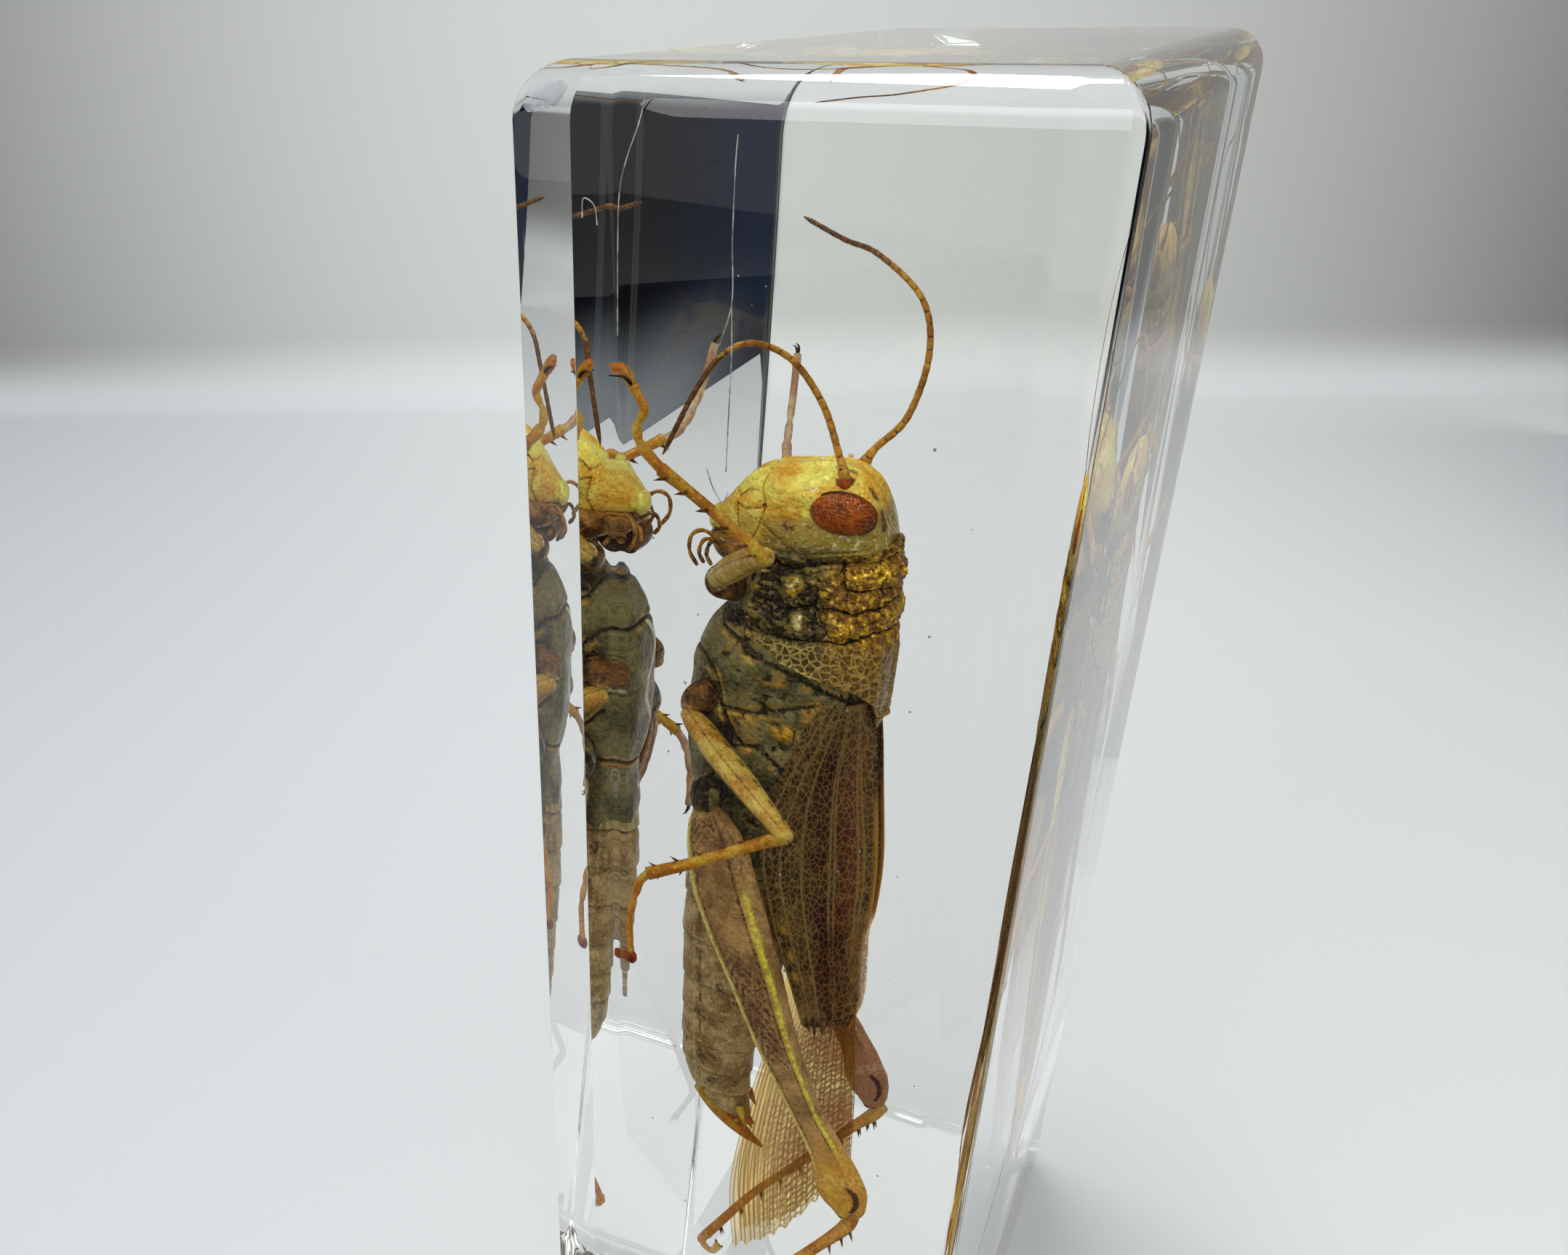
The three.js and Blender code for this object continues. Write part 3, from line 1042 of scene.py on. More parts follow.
COXAE = {
    "fore": [(-6.6, 2.4, 49.6, 0.9, 0.8), (-7.0, 1.5, 49.9, 0.85, 0.75), (-7.0, 0.9, 50.2, 0.6, 0.55)],
    "mid": [(-7.2, 2.4, 43.9, 0.95, 0.85), (-7.8, 1.4, 43.5, 0.85, 0.8), (-8.0, 0.9, 43.0, 0.6, 0.55)],
}
LEGS = {
    "fore_left": {
        "femur": [
            (-7.1, 1.0, 50.1, 0.45, 0.45), (-6.3, 0.1, 50.9, 0.72, 0.62), (-5.2, -1.5, 51.9, 0.76, 0.62),
            (-4.2, -3.1, 52.7, 0.6, 0.5), (-3.6, -4.0, 53.1, 0.5, 0.45), (-3.4, -4.3, 53.3, 0.3, 0.3),
        ],
        "tibia": [
            (-3.55, -4.1, 53.0, 0.4, 0.36), (-4.1, -4.4, 53.6, 0.34, 0.3), (-5.3, -5.0, 54.7, 0.28, 0.26),
            (-6.7, -5.8, 55.95, 0.28, 0.26), (-7.8, -6.5, 56.9, 0.36, 0.32),
        ],
        "foot": [
            (-7.7, -6.4, 56.8), (-8.2, -6.55, 57.3), (-8.75, -6.7, 58.0), (-8.85, -6.8, 58.7),
            (-8.5, -6.9, 59.4), (-8.75, -7, 60.0), (-9.0, -7, 60.4),
        ],
        "foot_radius": 0.3, "pad": (0.26, 0.17, 0.62), "spines": 6, "aims": ((-0.6, 0, -1), (0, -1, -0.3)),
    },
    "fore_right": {
        "femur": [
            (-7.1, 7.8, 50.1, 0.45, 0.45), (-6.6, 8.2, 50.6, 0.7, 0.6), (-5.6, 8.6, 51.3, 0.72, 0.6),
            (-4.6, 8.8, 51.9, 0.5, 0.45), (-4.1, 8.9, 52.2, 0.45, 0.4),
        ],
        "tibia": [
            (-4.1, 8.9, 52.2, 0.38, 0.34), (-4.8, 9.5, 52.6, 0.3, 0.27), (-5.9, 11.0, 53.2, 0.27, 0.25),
            (-6.7, 12.1, 53.7, 0.33, 0.3),
        ],
        "foot": [
            (-6.65, 12.0, 53.6), (-7.1, 13.6, 53.9), (-7.4, 15.0, 54.7), (-7.6, 16.2, 56.1),
            (-7.8, 17.3, 57.9),
        ],
        "foot_radius": 0.27, "pad": (), "spines": 5, "aims": ((-0.6, 0, -1), (0, 0.5, -1)),
    },
    "mid_left": {
        "femur": [
            (-8.1, 1.0, 42.9, 0.5, 0.45), (-7.3, 0.3, 42.5, 0.8, 0.6), (-5.9, -0.9, 41.8, 0.92, 0.66),
            (-4.2, -2.2, 41.0, 0.88, 0.62), (-2.6, -3.4, 40.2, 0.66, 0.5), (-1.7, -4.0, 39.7, 0.55, 0.48),
            (-1.4, -4.2, 39.5, 0.3, 0.3),
        ],
        "tibia": [
            (-1.6, -4.0, 39.6, 0.46, 0.4), (-2.5, -4.3, 39.15, 0.38, 0.33), (-4.0, -4.8, 38.3, 0.33, 0.3),
            (-6.0, -5.4, 37.2, 0.32, 0.3), (-8.0, -6.0, 36.2, 0.4, 0.34),
        ],
        "foot": [
            (-7.95, -6.0, 36.25), (-8.45, -6.0, 35.5), (-8.75, -6.0, 34.2), (-8.9, -6.0, 33.1),
            (-8.85, -6.0, 32.0), (-8.8, -6.0, 31.2),
        ],
        "foot_radius": 0.27, "pad": (0.36, 0.28, 0.42), "spines": 7,
        "aims": ((-0.4, 0, 1), (-0.2, 0.2, -1)),
    },
    "mid_right": {
        "femur": [
            (-8.1, 7.8, 42.9, 0.5, 0.45), (-7.3, 8.5, 42.5, 0.8, 0.6), (-5.9, 9.7, 41.8, 0.9, 0.66),
            (-4.4, 11.0, 41.2, 0.8, 0.6), (-3.2, 12.0, 40.6, 0.55, 0.5),
        ],
        "tibia": [
            (-3.3, 12.0, 40.6, 0.42, 0.36), (-4.8, 12.4, 39.2, 0.33, 0.3), (-6.6, 13.0, 37.8, 0.3, 0.28),
            (-8.0, 13.4, 36.8, 0.38, 0.32),
        ],
        "foot": [
            (-7.95, 13.4, 36.85), (-8.5, 13.5, 36.0), (-8.8, 13.6, 34.6), (-8.9, 13.7, 33.2),
            (-8.9, 13.7, 32.2),
        ],
        "foot_radius": 0.28, "pad": (), "spines": 6, "aims": ((-0.4, 0, 1), (-0.2, 0.2, -1)),
    },
}


def build_leg(name, leg, looks):
    part, side = name.split("_")
    stations = np.array(COXAE[part]) if side == "left" else far_side(COXAE[part])
    coxa, faces = closed_tube(sweep(stations, 24, 24))
    crease = 0.7 * ramp(0.2, 0.6, ripple(coxa, 1.6, 41))
    tip = ramp(0.75, 0.5, np.linalg.norm(coxa - stations[-1, :3], axis=1))
    piece(f"coxa_{name}", (coxa, faces), looks["coxa"], mark=crease, pale=0.6 * tip)
    femur, faces = closed_tube(sweep(leg["femur"], 28, 90))
    knee = np.asarray(leg["femur"][-2][:3])
    near_knee = np.linalg.norm(femur - knee, axis=1)
    reach, turn = along_and_round(90, 28)
    ovals = ramp(-0.2, 0.3, np.sin(reach * 62)) * bell(np.cos(turn), 0.1, 0.3)
    mark = strongest(
        0.7 * bell(near_knee, 0.3, 0.22),
        0.7 * ovals * ramp(0.1, 0.2, reach) * ramp(0.85, 0.75, reach),
        0.6 * bell(np.cos(turn), -0.75, 0.12) * ramp(0.9, 0.8, reach),
    )
    piece(f"femur_{name}", (femur, faces), looks["thin_femur"], mark=mark)
    shin = np.asarray(leg["tibia"])
    tube(f"tibia_{name}", sweep(shin, 20, 60), looks["amber"])
    thorns = spines(shin[:, :3], leg["spines"], 0.6, 0.28, leg["aims"])
    piece(f"tibia_spines_{name}", thorns, looks["spine"])
    skin = "foot" if side == "left" else "far_foot"
    foot(f"tarsus_{name}", leg["foot"], leg["foot_radius"], looks, pad=leg["pad"], skin=skin)


HIND_FEMUR = [
    (-6.9, 0.6, 38.2, 0.5, 0.4), (-6.6, 0.4, 37.6, 1.0, 0.6), (-5.95, -0.1, 36.2, 1.58, 0.85),
    (-5.15, -0.4, 33.9, 1.78, 1.0), (-4.15, -0.6, 31.6, 1.68, 0.95), (-3.2, -0.7, 29.55, 1.5, 0.88),
    (-1.7, -0.8, 26.1, 1.16, 0.76), (-0.55, -0.9, 24.0, 0.95, 0.64), (0.42, -1.0, 22.3, 0.82, 0.56),
    (1.5, -1.0, 20.7, 0.92, 0.6), (2.25, -1.0, 19.4, 1.25, 0.7), (2.75, -1.0, 18.2, 1.42, 0.68),
    (3.1, -1.0, 17.2, 1.1, 0.5), (3.2, -1.0, 16.4, 0.45, 0.3),
]
HIND_TIBIA = [
    (3.55, -1.0, 17.1, 0.42, 0.4), (3.3, -1.15, 16.0, 0.42, 0.4), (2.2, -1.9, 14.5, 0.34, 0.32),
    (-0.2, -3.4, 11.6, 0.3, 0.28), (-3.6, -5.6, 7.9, 0.29, 0.27), (-6.9, -7.7, 4.3, 0.37, 0.34),
]
HIND_FOOT = [
    (-6.85, -7.65, 4.35), (-7.5, -8.1, 3.6), (-8.2, -8.7, 3.0), (-8.8, -9.6, 2.6), (-9.0, -10.6, 2.5),
]
FAR_TIBIA = [
    (3.0, 9.6, 18.6, 0.4, 0.38), (2.5, 9.6, 17.7, 0.4, 0.38), (1.5, 9.6, 16.4, 0.32, 0.3),
    (-1.2, 9.6, 12.6, 0.28, 0.26), (-3.8, 9.6, 9.0, 0.27, 0.25), (-6.6, 9.6, 4.2, 0.36, 0.32),
]
FAR_FOOT = [(-6.6, 9.6, 4.25), (-6.9, 9.8, 3.5), (-6.6, 10.2, 2.8), (-6.3, 11.0, 2.3), (-6.2, 12.0, 2.2)]
FEMUR_ACROSS = (0.89, 0, 0.457)


def build_hind_leg(name, femur, tibia, ankle, out, looks):
    """The jumping leg: a broad thigh marked like a herringbone, a bulbous knee and a spiny shin."""
    root = np.array(femur[1])
    hip = [
        (*(root[:3] + (0.5, -2.0 * out, 1.9)), 1.3, 1.1), (*(root[:3] + (0.1, -1.0 * out, 1.6)), 1.25, 1.1),
        (*(root[:3] + (-0.2, -0.3 * out, 0.9)), 1.0, 0.9), (*(root[:3] + (-0.1, 0, 0.2)), 0.6, 0.55),
    ]
    points, faces = closed_tube(sweep(hip, 40, 40))
    crease = 0.9 * ramp(0.25, 0.6, 1 - 2 * np.abs(ripple(points, 1.3, 44)))
    piece(f"coxa_hind_{name}", (points, faces), looks["hip"], mark=crease)
    rings = sweep(femur, 60, 240, FEMUR_ACROSS)
    points, faces = closed_tube(rings)
    sides = rings.shape[1]
    along, turn = along_and_round(*rings.shape[:2])
    across = np.cos(turn)
    outer = (np.sin(turn) * out > 0).astype(float)
    blade = ramp(0.02, 0.1, along) * ramp(0.8, 0.68, along)
    field = ramp(0.5, 0.35, across) * ramp(-0.82, -0.66, across)
    chevron = np.sin((along * 104 - np.abs(across + 0.28) * 6.5) * math.pi)
    upper_ridge = bell(across, 0.66, 0.11)
    lower_ridge = bell(across, -0.8, 0.09)
    centre = np.vstack([np.repeat(rings.mean(1), sides, axis=0), rings[0].mean(0), rings[-1].mean(0)])
    outward = unit(points - centre)
    crumple = np.abs(ripple(points, 4.6, 53)) * upper_ridge
    lift = blade * (0.22 * upper_ridge + 0.16 * lower_ridge + 0.05 * chevron * field * outer)
    lift += -0.1 * crumple * blade + 0.025 * ripple(points, 2.6, 51)
    lift += 0.1 * bell(across, 0.95, 0.12) * blade
    points = points + outward * lift[:, None]
    bands = ramp(-0.4, 0.6, np.sin(along * 17 + 0.6) + 0.6 * ripple(points, 0.7, 52))
    bow = 0.6 - 75 * (along - 0.875) ** 2
    crescent = bell(across, bow, 0.17) * ramp(0.8, 0.83, along) * ramp(0.955, 0.925, along)
    mark = strongest(
        blade * field * (0.2 + 0.2 * ramp(-0.2, 0.6, chevron) + 0.25 * bands),
        0.6 * blade * bell(across, -0.68, 0.05), 0.7 * blade * bell(across, 0.48, 0.06),
        0.3 * blade * ramp(0.75, 0.85, across) * bands,
        0.9 * crescent, 0.6 * bell(along, 0.985, 0.01),
    )
    pale = strongest(0.75 * blade * lower_ridge, 0.4 * bell(along, 0.8, 0.04))
    # Painted glints: broken golden highlights along the upper ridge, a fainter line along the lower ridge,
    # and flecks before the knee.
    glint = ramp(0.4, 0.15, np.abs(ripple(points, 3.2, 54)))
    gold = strongest(
        blade * upper_ridge * ramp(0.18, 0.28, along) * (0.35 + 0.65 * glint),
        0.5 * blade * lower_ridge,
        0.45 * glint * ramp(0.7, 0.8, along) * bell(across, -0.3, 0.25),
    )
    look = looks["hind_femur" if name == "left" else "far_femur"]
    yellow = 0.85 * ramp(0.6, 0.8, along)
    piece(f"femur_hind_{name}", (points, faces), look, mark=mark, pale=pale, gold=gold, knee=yellow)
    shin = np.asarray(tibia)
    tube(f"tibia_hind_{name}", sweep(shin, 22, 90), looks["hind_tibia"])
    thorns = spines(shin[:, :3], 10, 0.75, 0.28, ((1, 0.3, -0.4), (1, -0.4, -0.2)), 0.22, 0.97)
    piece(f"tibia_spines_hind_{name}", thorns, looks["spine"])
    foot(f"tarsus_hind_{name}", ankle, 0.3, looks, (0.832, 0, -0.555))


# ---------------------------------------------------------------- wings

def wing_grid(upper_edge, lower_edge, rows, columns, belly):
    """A sheet between two edges, from the shoulder to the tip, that bellies out by `belly` in Y."""
    upper, lower = curve(upper_edge, rows), curve(lower_edge, rows)
    part = np.linspace(0, 1, columns)[None, :, None]
    grid = upper[:, None] * (1 - part) + lower[:, None] * part
    grid[..., 1] += belly * np.sin(part[..., 0] * math.pi)
    return grid


def wing_places(rows, columns):
    """Places on a wing, from 0 to 1: from its upper to its lower edge, and from shoulder to tip."""
    across, along = np.meshgrid(np.linspace(0, 1, columns), np.linspace(0, 1, rows))
    return across, along


def long_veins(across, along, places, width):
    """Veins that run from the shoulder to the wing's end and spread as they go, from 0 to 1."""
    field = 0.0
    for place in places:
        bend = 0.5 + (place - 0.5) * (0.7 + 0.3 * ramp(0, 0.5, along))
        bend = bend + 0.008 * np.sin(along * 9 + place * 20)
        field = np.maximum(field, np.exp(-((across - bend) / width) ** 2))
    return field


def cross_veins(across, along, lanes, spacing, seed):
    """Short rungs between neighbouring long veins, `lanes` of them, from 0 to 1."""
    generator = np.random.default_rng(seed)
    field = 0 * across
    for lane in range(lanes):
        inside = (across >= lane / lanes) & (across < (lane + 1) / lanes)
        crossings = np.cumsum(generator.uniform(0.55, 1.45, int(1.3 / spacing)) * spacing)
        slant = generator.uniform(-0.12, 0.12)
        offset = along - crossings[:, None, None] - slant * (across - lane / lanes)
        rungs = np.exp(-(offset / 0.0037) ** 2).max(axis=0)
        field = np.maximum(field, rungs * inside)
    return field


def build_tegmen(name, flip, looks):
    """A leathery forewing, folded against the side. Its outer end is torn and clears to a net."""
    rows, columns = 180, 100
    upper = [
        (0.5, 3.7, 44.8), (0.9, 3.7, 42.5), (1.2, 3.7, 40.2), (1.7, 3.6, 36), (1.7, 3.6, 33),
        (1.5, 3.6, 31.2), (1.7, 3.6, 28), (1.4, 3.6, 25.2),
    ]
    lower = [
        (-1.3, 1.2, 45.0), (-2.2, 1.0, 43.2), (-3.2, 0.9, 40.3), (-3.8, 0.8, 37.4), (-3.6, 0.8, 34.8),
        (-2.6, 0.8, 31.6), (-1.7, 0.9, 29.3), (-0.9, 1.1, 27.0), (-0.5, 1.3, 25.6),
    ]
    grid = wing_grid(upper, lower, rows, columns, -0.75)
    across, along = wing_places(rows, columns)
    field = long_veins(across, along, [0.1, 0.14, 0.34, 0.38, 0.62, 0.8, 0.97], 0.008)
    tear = 0.55 * np.abs(np.sin(across * 17)) + 0.45 * np.abs(np.sin(across * 41 + 1))
    grid[..., 2] += 1.8 * tear * ramp(0.9, 1.0, along)
    grid[..., 1] -= 0.06 * field
    band = bell(across - 0.05 * np.sin(along * 9), 0.42, 0.2) * ramp(0.02, 0.25, along)
    band = band * (0.75 + 0.5 * ripple(grid, 0.6, 62))
    # Painted glints: a broken golden streak near the lower edge, and a golden line along the upper edge.
    streak = stroke(grid, [(-2.2, 32.2), (-1.6, 30.4), (-1.3, 29.4)], 0.16)
    streak = streak * ramp(-0.4, 0.3, ripple(grid, 1.4, 63))
    layers = {
        "band": np.clip(1.15 * band, 0, 1),
        "rim": 0.6 * bell(across, 0.2, 0.1) * ramp(0.7, 0.55, along),
        "pale": 0.75 * field,
        "gold": strongest(streak, bell(across, 0.0, 0.03) * ramp(0.25, 0.35, along)),
        "fade": 0.88 * np.maximum(
            ramp(0.78, 0.92, along),
            ramp(0.6, 0.35, across) * ramp(0.56, 0.68, along),
        ),
    }
    piece("tegmen_" + name, plate(flip(grid), 0.07), looks["tegmen"], **twice(layers))


def build_hindwing(name, flip, looks):
    """A clear fan, folded in pleats under the forewing, netted with brown veins."""
    rows, columns = 240, 124
    upper = [(0.4, 3.9, 38.0), (1.2, 3.9, 32), (1.5, 3.9, 26), (2.0, 3.9, 21.5), (2.3, 3.9, 17.0)]
    lower = [
        (-1.6, 3.1, 38.0), (-2.4, 3.1, 30), (-2.9, 3.1, 23.5), (-3.6, 3.1, 19), (-4.2, 3.1, 13),
        (-3.7, 3.1, 8.2),
    ]
    grid = wing_grid(upper, lower, rows, columns, -0.15)
    across, along = wing_places(rows, columns)
    pleats = 11
    pleat = np.abs((across * pleats) % 1 - 0.5) * 2
    grid[..., 1] += 0.34 * (pleat - 0.5) * ramp(0.0, 0.5, along)
    grid[..., 2] -= 1.5 * np.sin(across * math.pi) * ramp(0.75, 1.0, along)
    grid[..., 2] += 0.35 * np.abs(np.sin(across * 26)) * ramp(0.93, 1.0, along)
    lines = np.exp(-(((across * pleats * 2 + 0.5) % 1 - 0.5) / 0.11) ** 2)
    rungs = cross_veins(across, along, pleats * 2, 0.02, 71) * ramp(0.95, 0.35, across)
    field = strongest(0.75 * lines, 0.7 * rungs) * ramp(0.25, 0.5, along)
    patch = ramp(0.4, 0.5, along) * ramp(0.95, 0.8, along) * ramp(0.85, 0.2, across)
    amber = patch * ramp(-0.3, 0.3, ripple(grid, 0.5, 72)) + 0.3 * ramp(0.2, 0.05, across)
    layers = {"mark": np.clip(amber, 0, 1), "pale": field}
    piece("hindwing_" + name, plate(flip(grid), 0.03), looks["hindwing"], **twice(layers))


def membrane(look, colour, opacity, rough=0.3, gloss=0.3):
    """A thin wing: part clear and tinted, part a surface that also lets light through."""
    surface = look.add("BsdfPrincipled", {
        "Base Color": colour, "Roughness": rough, "Specular IOR Level": gloss,
        "Specular Tint": (1.0, 0.78, 0.42, 1.0),
        "Normal": look.bump(look.noise(7, 3), 0.03),
    })
    through = look.add("BsdfTranslucent", {"Color": colour})
    body = look.add("MixShader", {0: 0.5, 1: surface.outputs[0], 2: through.outputs[0]})
    tint = look.blend(0.4, (1, 1, 1, 1), colour)
    clear = look.add("BsdfTransparent", {"Color": tint})
    return look.add("MixShader", {0: opacity, 1: clear.outputs[0], 2: body.outputs[0]})


def tegmen_look():
    """Dark cells between pale veins, purple-brown in a broad band and reddish at the upper edge."""
    look = Look("tegmen_membrane")
    warped = look.stretched((1.15, 0.1, 0.72), math.radians(-8))
    edge = look.cells(3.6, "DISTANCE_TO_EDGE", warped)
    line = look.span(edge, 0.035, 0.11, 1.0, 0.0)
    mottle = look.span(look.noise(0.9, 4, 0.6), 0.38, 0.62)
    cell = look.blend(mottle, "584020", "8a6a38")
    cell = look.blend(look.layer("band"), cell, "3a161a")
    cell = look.blend(look.layer("rim"), cell, "9a4a34")
    vein = look.blend(look.layer("band"), "c8a460", "b87440")
    colour = look.blend(look.times(line, 0.8), cell, vein)
    # Painted glints: golden highlights where the "gold" layer is strong.
    colour = look.blend(look.layer("gold"), colour, "f4bc54")
    colour = look.blend(look.layer("pale"), colour, "d8b468")
    fade = look.layer("fade")
    veined = look.count("MAXIMUM", look.times(line, 0.9), look.layer("pale"))
    veined = look.times(veined, look.span(fade, 0.0, 0.8, 0.8, 0.6))
    opacity = look.count("MAXIMUM", look.count("SUBTRACT", 0.93, fade), veined)
    return look.finish(membrane(look, colour, opacity).outputs[0])


def hindwing_look():
    """Clear, faintly amber, with fine brown veins and a few darker cells."""
    look = Look("hindwing_membrane")
    tint = look.blend(look.layer("mark"), "ffe494", "eab44c")
    line = look.layer("pale")
    colour = look.blend(line, tint, "8e6818")
    opacity = look.count("ADD", look.times(look.layer("mark"), 0.14), 0.03)
    opacity = look.count("MAXIMUM", opacity, look.times(line, 0.7))
    return look.finish(membrane(look, colour, opacity).outputs[0])


def eye_look():
    look = Look("compound_eye")
    facets = look.cells(9.0)
    colour = look.blend(look.span(look.noise(1.4, 4), 0.35, 0.65), "5a1804", "a4420a")
    stripes = look.stretched((0.8, 1, 2.2))
    net = look.span(look.cells(2.6, "DISTANCE_TO_EDGE", stripes), 0.02, 0.08, 0.45, 0.0)
    colour = look.blend(net, colour, "e08a2c")
    surface = look.add("BsdfPrincipled", {
        "Base Color": colour, "Roughness": 0.14, "Specular IOR Level": 0.4,
        "Specular Tint": (1.0, 0.7, 0.35, 1.0),
        "Subsurface Weight": 0.2, "Subsurface Radius": (1.0, 0.4, 0.15), "Subsurface Scale": 0.3 * MM,
        "Normal": look.bump(facets, 0.04),
    })
    return look.finish(surface.outputs[0])


def chip_look():
    """A milky flake in the polished edge."""
    look = Look("milky_flake")
    milk = look.span(look.noise(2.2, 4, 0.6), 0.4, 0.65, 0.15, 0.6)
    return look.finish(membrane(look, rgb("e4e8ec"), milk).outputs[0])


def lint_look():
    look = Look("lint")
    surface = look.add("BsdfPrincipled", {
        "Base Color": look.blend(look.span(look.noise(2), 0.4, 0.6), "8a8880", "d8d6cc"),
        "Roughness": 0.8,
    })
    return look.finish(surface.outputs[0])


def all_looks():
    # Each "gold" tint below paints glints: a bright golden highlight colour where the "gold" layer is
    # strong.
    shells = {
        "head": dict(
            dark="e4a824", light="fff070", mark="6a3a08", pale="fae8b0", tints=(("shade", "a08a40"),),
            relief=0.08, glow=0.5, glow_depth=0.6, gloss=0.6, fleck=0.12,
        ),
        "pronotum": dict(
            dark="4e4018", light="94803c", mark="1c1204", pale="f6e49c",
            tints=(("back", "8a5a18"), ("gold", "ffc83a")), net=("e8cc74", "3a2c0c", 2.5, 0.15, "net", 0.9),
            grain=4.5, relief=0.14, gloss=0.6, metal=0.5,
        ),
        "pleura": dict(
            dark="4c4828", light="8a8050", mark="1c1204", pale="f4e8c0", tints=(("gold", "e0a42c"),),
            grain=4, relief=0.1, rough=0.28, gloss=0.4, metal=0.3,
        ),
        "abdomen": dict(
            dark="927042", light="ccb078", mark="3e2810", pale="dcc488", grain=6, relief=0.07, patch=0.9,
            rough=0.3,
        ),
        "amber": dict(
            dark="c87a10", light="ffcc44", mark="5a2804", pale="ffe69a", glow=0.7, glow_depth=0.8,
            gloss=0.5, clear=0.35,
        ),
        "thin_femur": dict(
            dark="cc9430", light="ffdc6c", mark="5c4024", pale="fff0a8", relief=0.06, glow=0.6,
            glow_depth=0.7, rough=0.22, gloss=0.5, clear=0.25,
        ),
        "hind_femur": dict(
            dark="90683a", light="cca062", mark="5a3020", pale="ffe890",
            tints=(("knee", "e8a83c"), ("gold", "fff050")), relief=0.08, glow=0.5, glow_depth=0.6,
            gloss=0.5, fleck=0.2,
        ),
        "far_femur": dict(
            dark="a07058", light="d0a078", mark="4e2830", pale="f4dcb0",
            tints=(("knee", "cc946c"), ("gold", "e0b070")), relief=0.06, glow=0.6, glow_depth=0.6,
            rough=0.25, clear=0.3, fleck=0.2,
        ),
        "hind_tibia": dict(
            dark="c8802c", light="ffc868", mark="5a3024", pale="ffe8a8", relief=0.04, glow=0.7,
            glow_depth=0.6, rough=0.22, gloss=0.5, clear=0.3,
        ),
        "far_foot": dict(
            dark="c89878", light="f0d0a8", mark="5a3020", relief=0.03, glow=0.7, glow_depth=0.6,
            clear=0.3, fleck=0.2,
        ),
        "foot": dict(
            dark="d88010", light="ffcc50", mark="5a1804", pale="ffbc50", relief=0.03, glow=0.7,
            glow_depth=0.6, rough=0.16, gloss=0.5, clear=0.35,
        ),
        "claw": dict(dark="100804", light="28140a", grain=6, relief=0.01, glow=0.1),
        "spine": dict(dark="3a1c06", light="7a4410", grain=6, relief=0.01, glow=0.3, rough=0.3),
        "jaw": dict(dark="4a2a0c", light="b47c28", mark="241004", gloss=0.5, patch=1.4),
        "coxa": dict(
            dark="3a2010", light="8c5a24", mark="1c0c04", pale="e4d4a0", relief=0.06, gloss=0.5, patch=1.4,
        ),
        "hip": dict(
            dark="4c4428", light="847848", mark="201408", grain=4, relief=0.1, rough=0.28, gloss=0.4,
            patch=0.9,
        ),
        "socket": dict(dark="6a2004", light="b4560c", grain=6, relief=0.03, rough=0.25),
        "antenna": dict(
            dark="a0681c", light="e4ac44", mark="5a2c08", grain=6, relief=0.03, glow=0.6, glow_depth=0.4,
            rough=0.38, gloss=0.4, clear=0.2,
        ),
        "ocellus": dict(dark="d0b070", light="f0dca8", grain=4, relief=0.0, rough=0.15),
    }
    looks = {part: cuticle(part + "_cuticle", **settings) for part, settings in shells.items()}
    looks["eye"] = eye_look()
    looks["tegmen"] = tegmen_look()
    looks["hindwing"] = hindwing_look()
    looks["chip"] = chip_look()
    looks["lint"] = lint_look()
    return looks


# ---------------------------------------------------------------- what lies on and in the resin

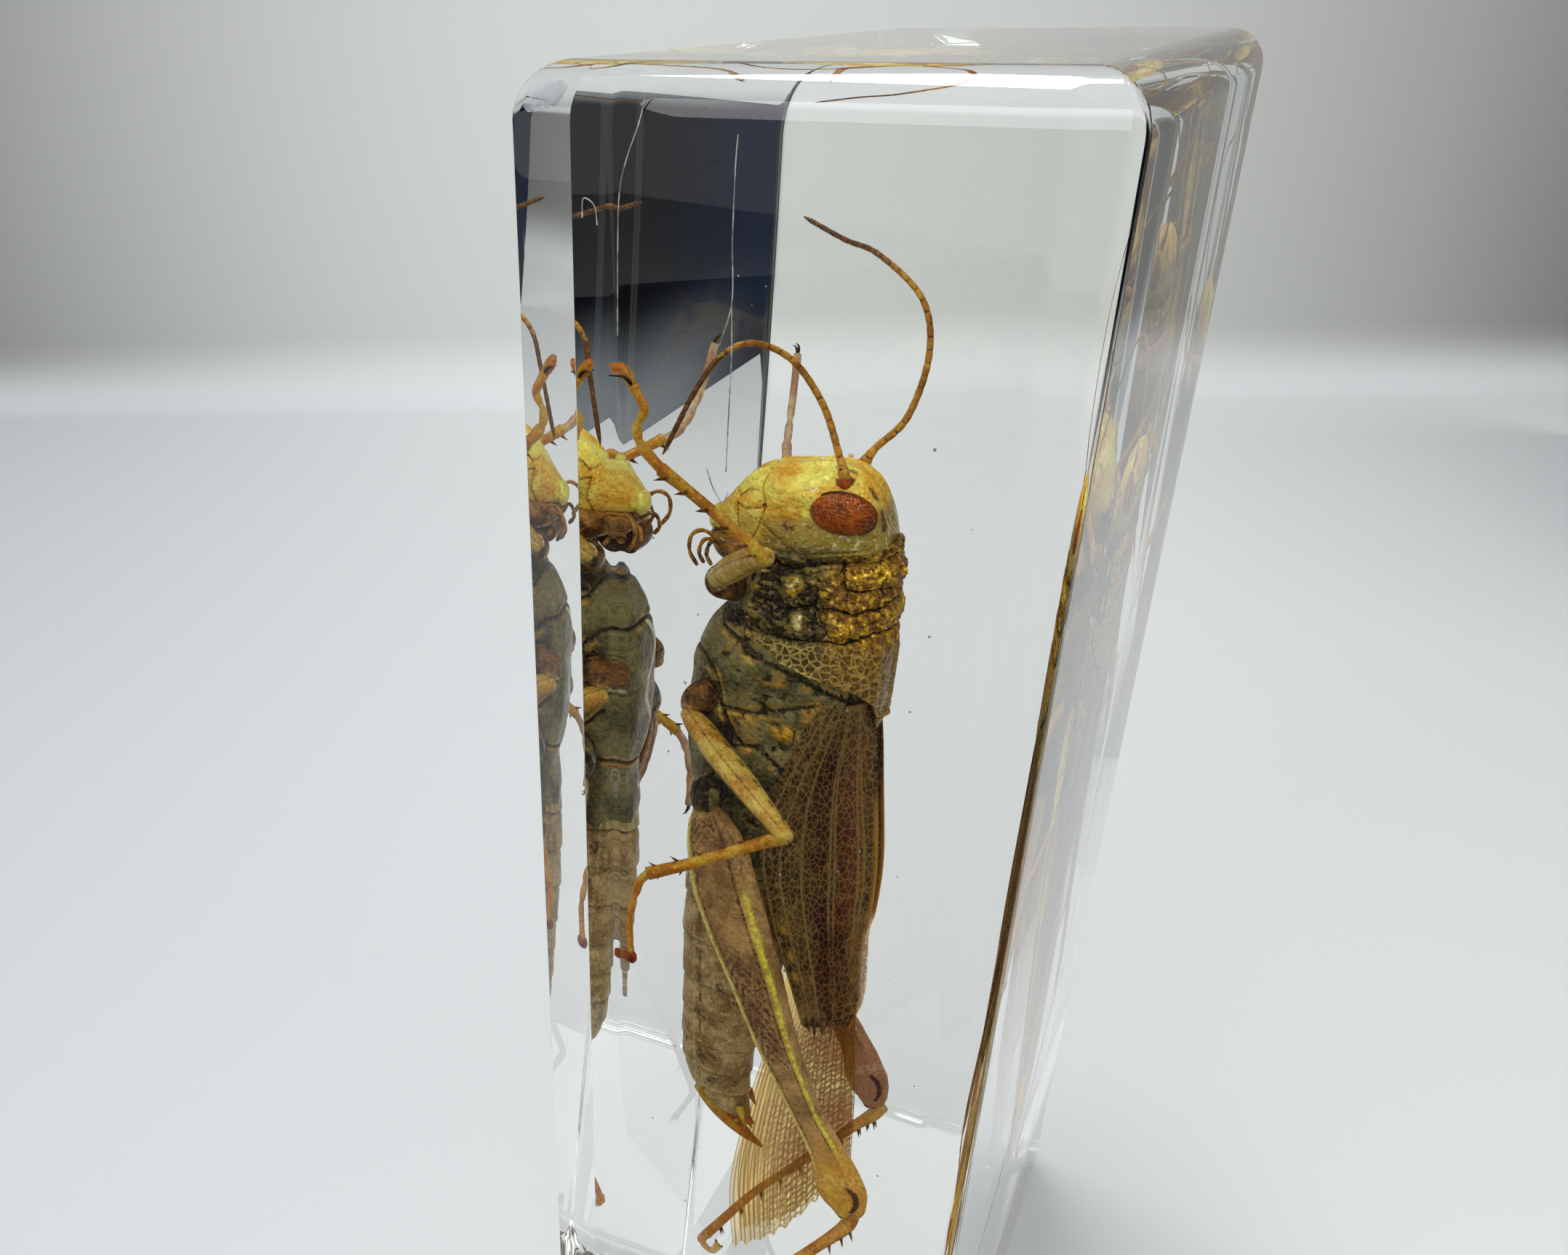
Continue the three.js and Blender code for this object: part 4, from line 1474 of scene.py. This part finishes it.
def build_lint(looks):
    """Fine hairs and specks of dust on the faces of the block."""
    hairs = [
        [(-4.32, 79.2), (-4.59, 78.3), (-5.04, 77.2), (-5.28, 76.2), (-5.35, 74.5), (-5.38, 71.7)],
        [(-1.27, 78.1), (-1.32, 77.2), (-1.34, 75.1), (-1.29, 73.2), (-1.67, 71.8)],
        [(-1.29, 73.2), (-1.24, 71.5), (-1.27, 69.8), (-1.3, 67.6)],
        [(-6.66, 75.4), (-6.6, 76.0), (-6.2, 75.8), (-6.1, 75.2)],
        [(-2.0, 67.6), (-1.76, 66.97), (-1.4, 66.5), (-1.2, 66.9)],
    ]
    for index, line in enumerate(hairs):
        corners = np.array([(x, -WIDTH / 2 + 0.02, z - LENGTH + INSECT_DATUM) for x, z in line])
        rows = curve(corners, 40)
        radii = np.full(40, 0.022)
        tube(f"hair_{index + 1}", rings_along(rows, radii, radii, 6, (0, 1, 0)), looks["lint"])
    chip, faces = ball((-8.3, -19.35, 78.95 - LENGTH + INSECT_DATUM), (0.85, 0.1, 0.38), 30, 40)
    chip[:, [0, 2]] += 0.12 * np.column_stack([ripple(chip, 2.4, 81), ripple(chip, 3.1, 82)])
    chip[:, 2] += 0.3 * (chip[:, 0] + 8.3)
    piece("edge_chip", (chip, faces), looks["chip"])
    specks = []
    for _ in range(60):
        size = random.uniform(0.02, 0.06)
        place = (random.uniform(-4.5, 8), -19.97, random.uniform(8, 70))
        specks.append(ball(place, (size, size * 0.5, size * random.uniform(0.7, 1.6)), 4, 6))
    piece("dust", joined(specks), looks["lint"])


# ---------------------------------------------------------------- everything

def build_insect():
    looks = all_looks()
    build_head(looks)
    build_antennae(looks)
    build_pronotum(looks)
    build_thorax(looks)
    build_abdomen(looks)
    for name, leg in LEGS.items():
        build_leg(name, leg, looks)
    build_hind_leg("left", HIND_FEMUR, HIND_TIBIA, HIND_FOOT, -1, looks)
    far = np.array(HIND_FEMUR)
    far[:, 1] = 2 * MIDDLE - far[:, 1] - 0.3
    far[:, 0] -= 0.8
    far[:, 2] += 1.9
    far[:, 3:] *= 0.85
    build_hind_leg("right", far.tolist(), FAR_TIBIA, FAR_FOOT, 1, looks)
    for name, flip in (("left", lambda place: place), ("right", far_side)):
        build_tegmen(name, flip, looks)
        build_hindwing(name, flip, looks)
    build_lint(looks)


place_camera()
light_world()
soft_panel("front_panel", (20, -420, 340), (0, 0, 50), (560, 300), 1.5)
soft_panel("top_panel", (-80, 60, 460), (0, 0, 50), (170, 170), 1.25)
build_stage()
build_block()
build_insect()
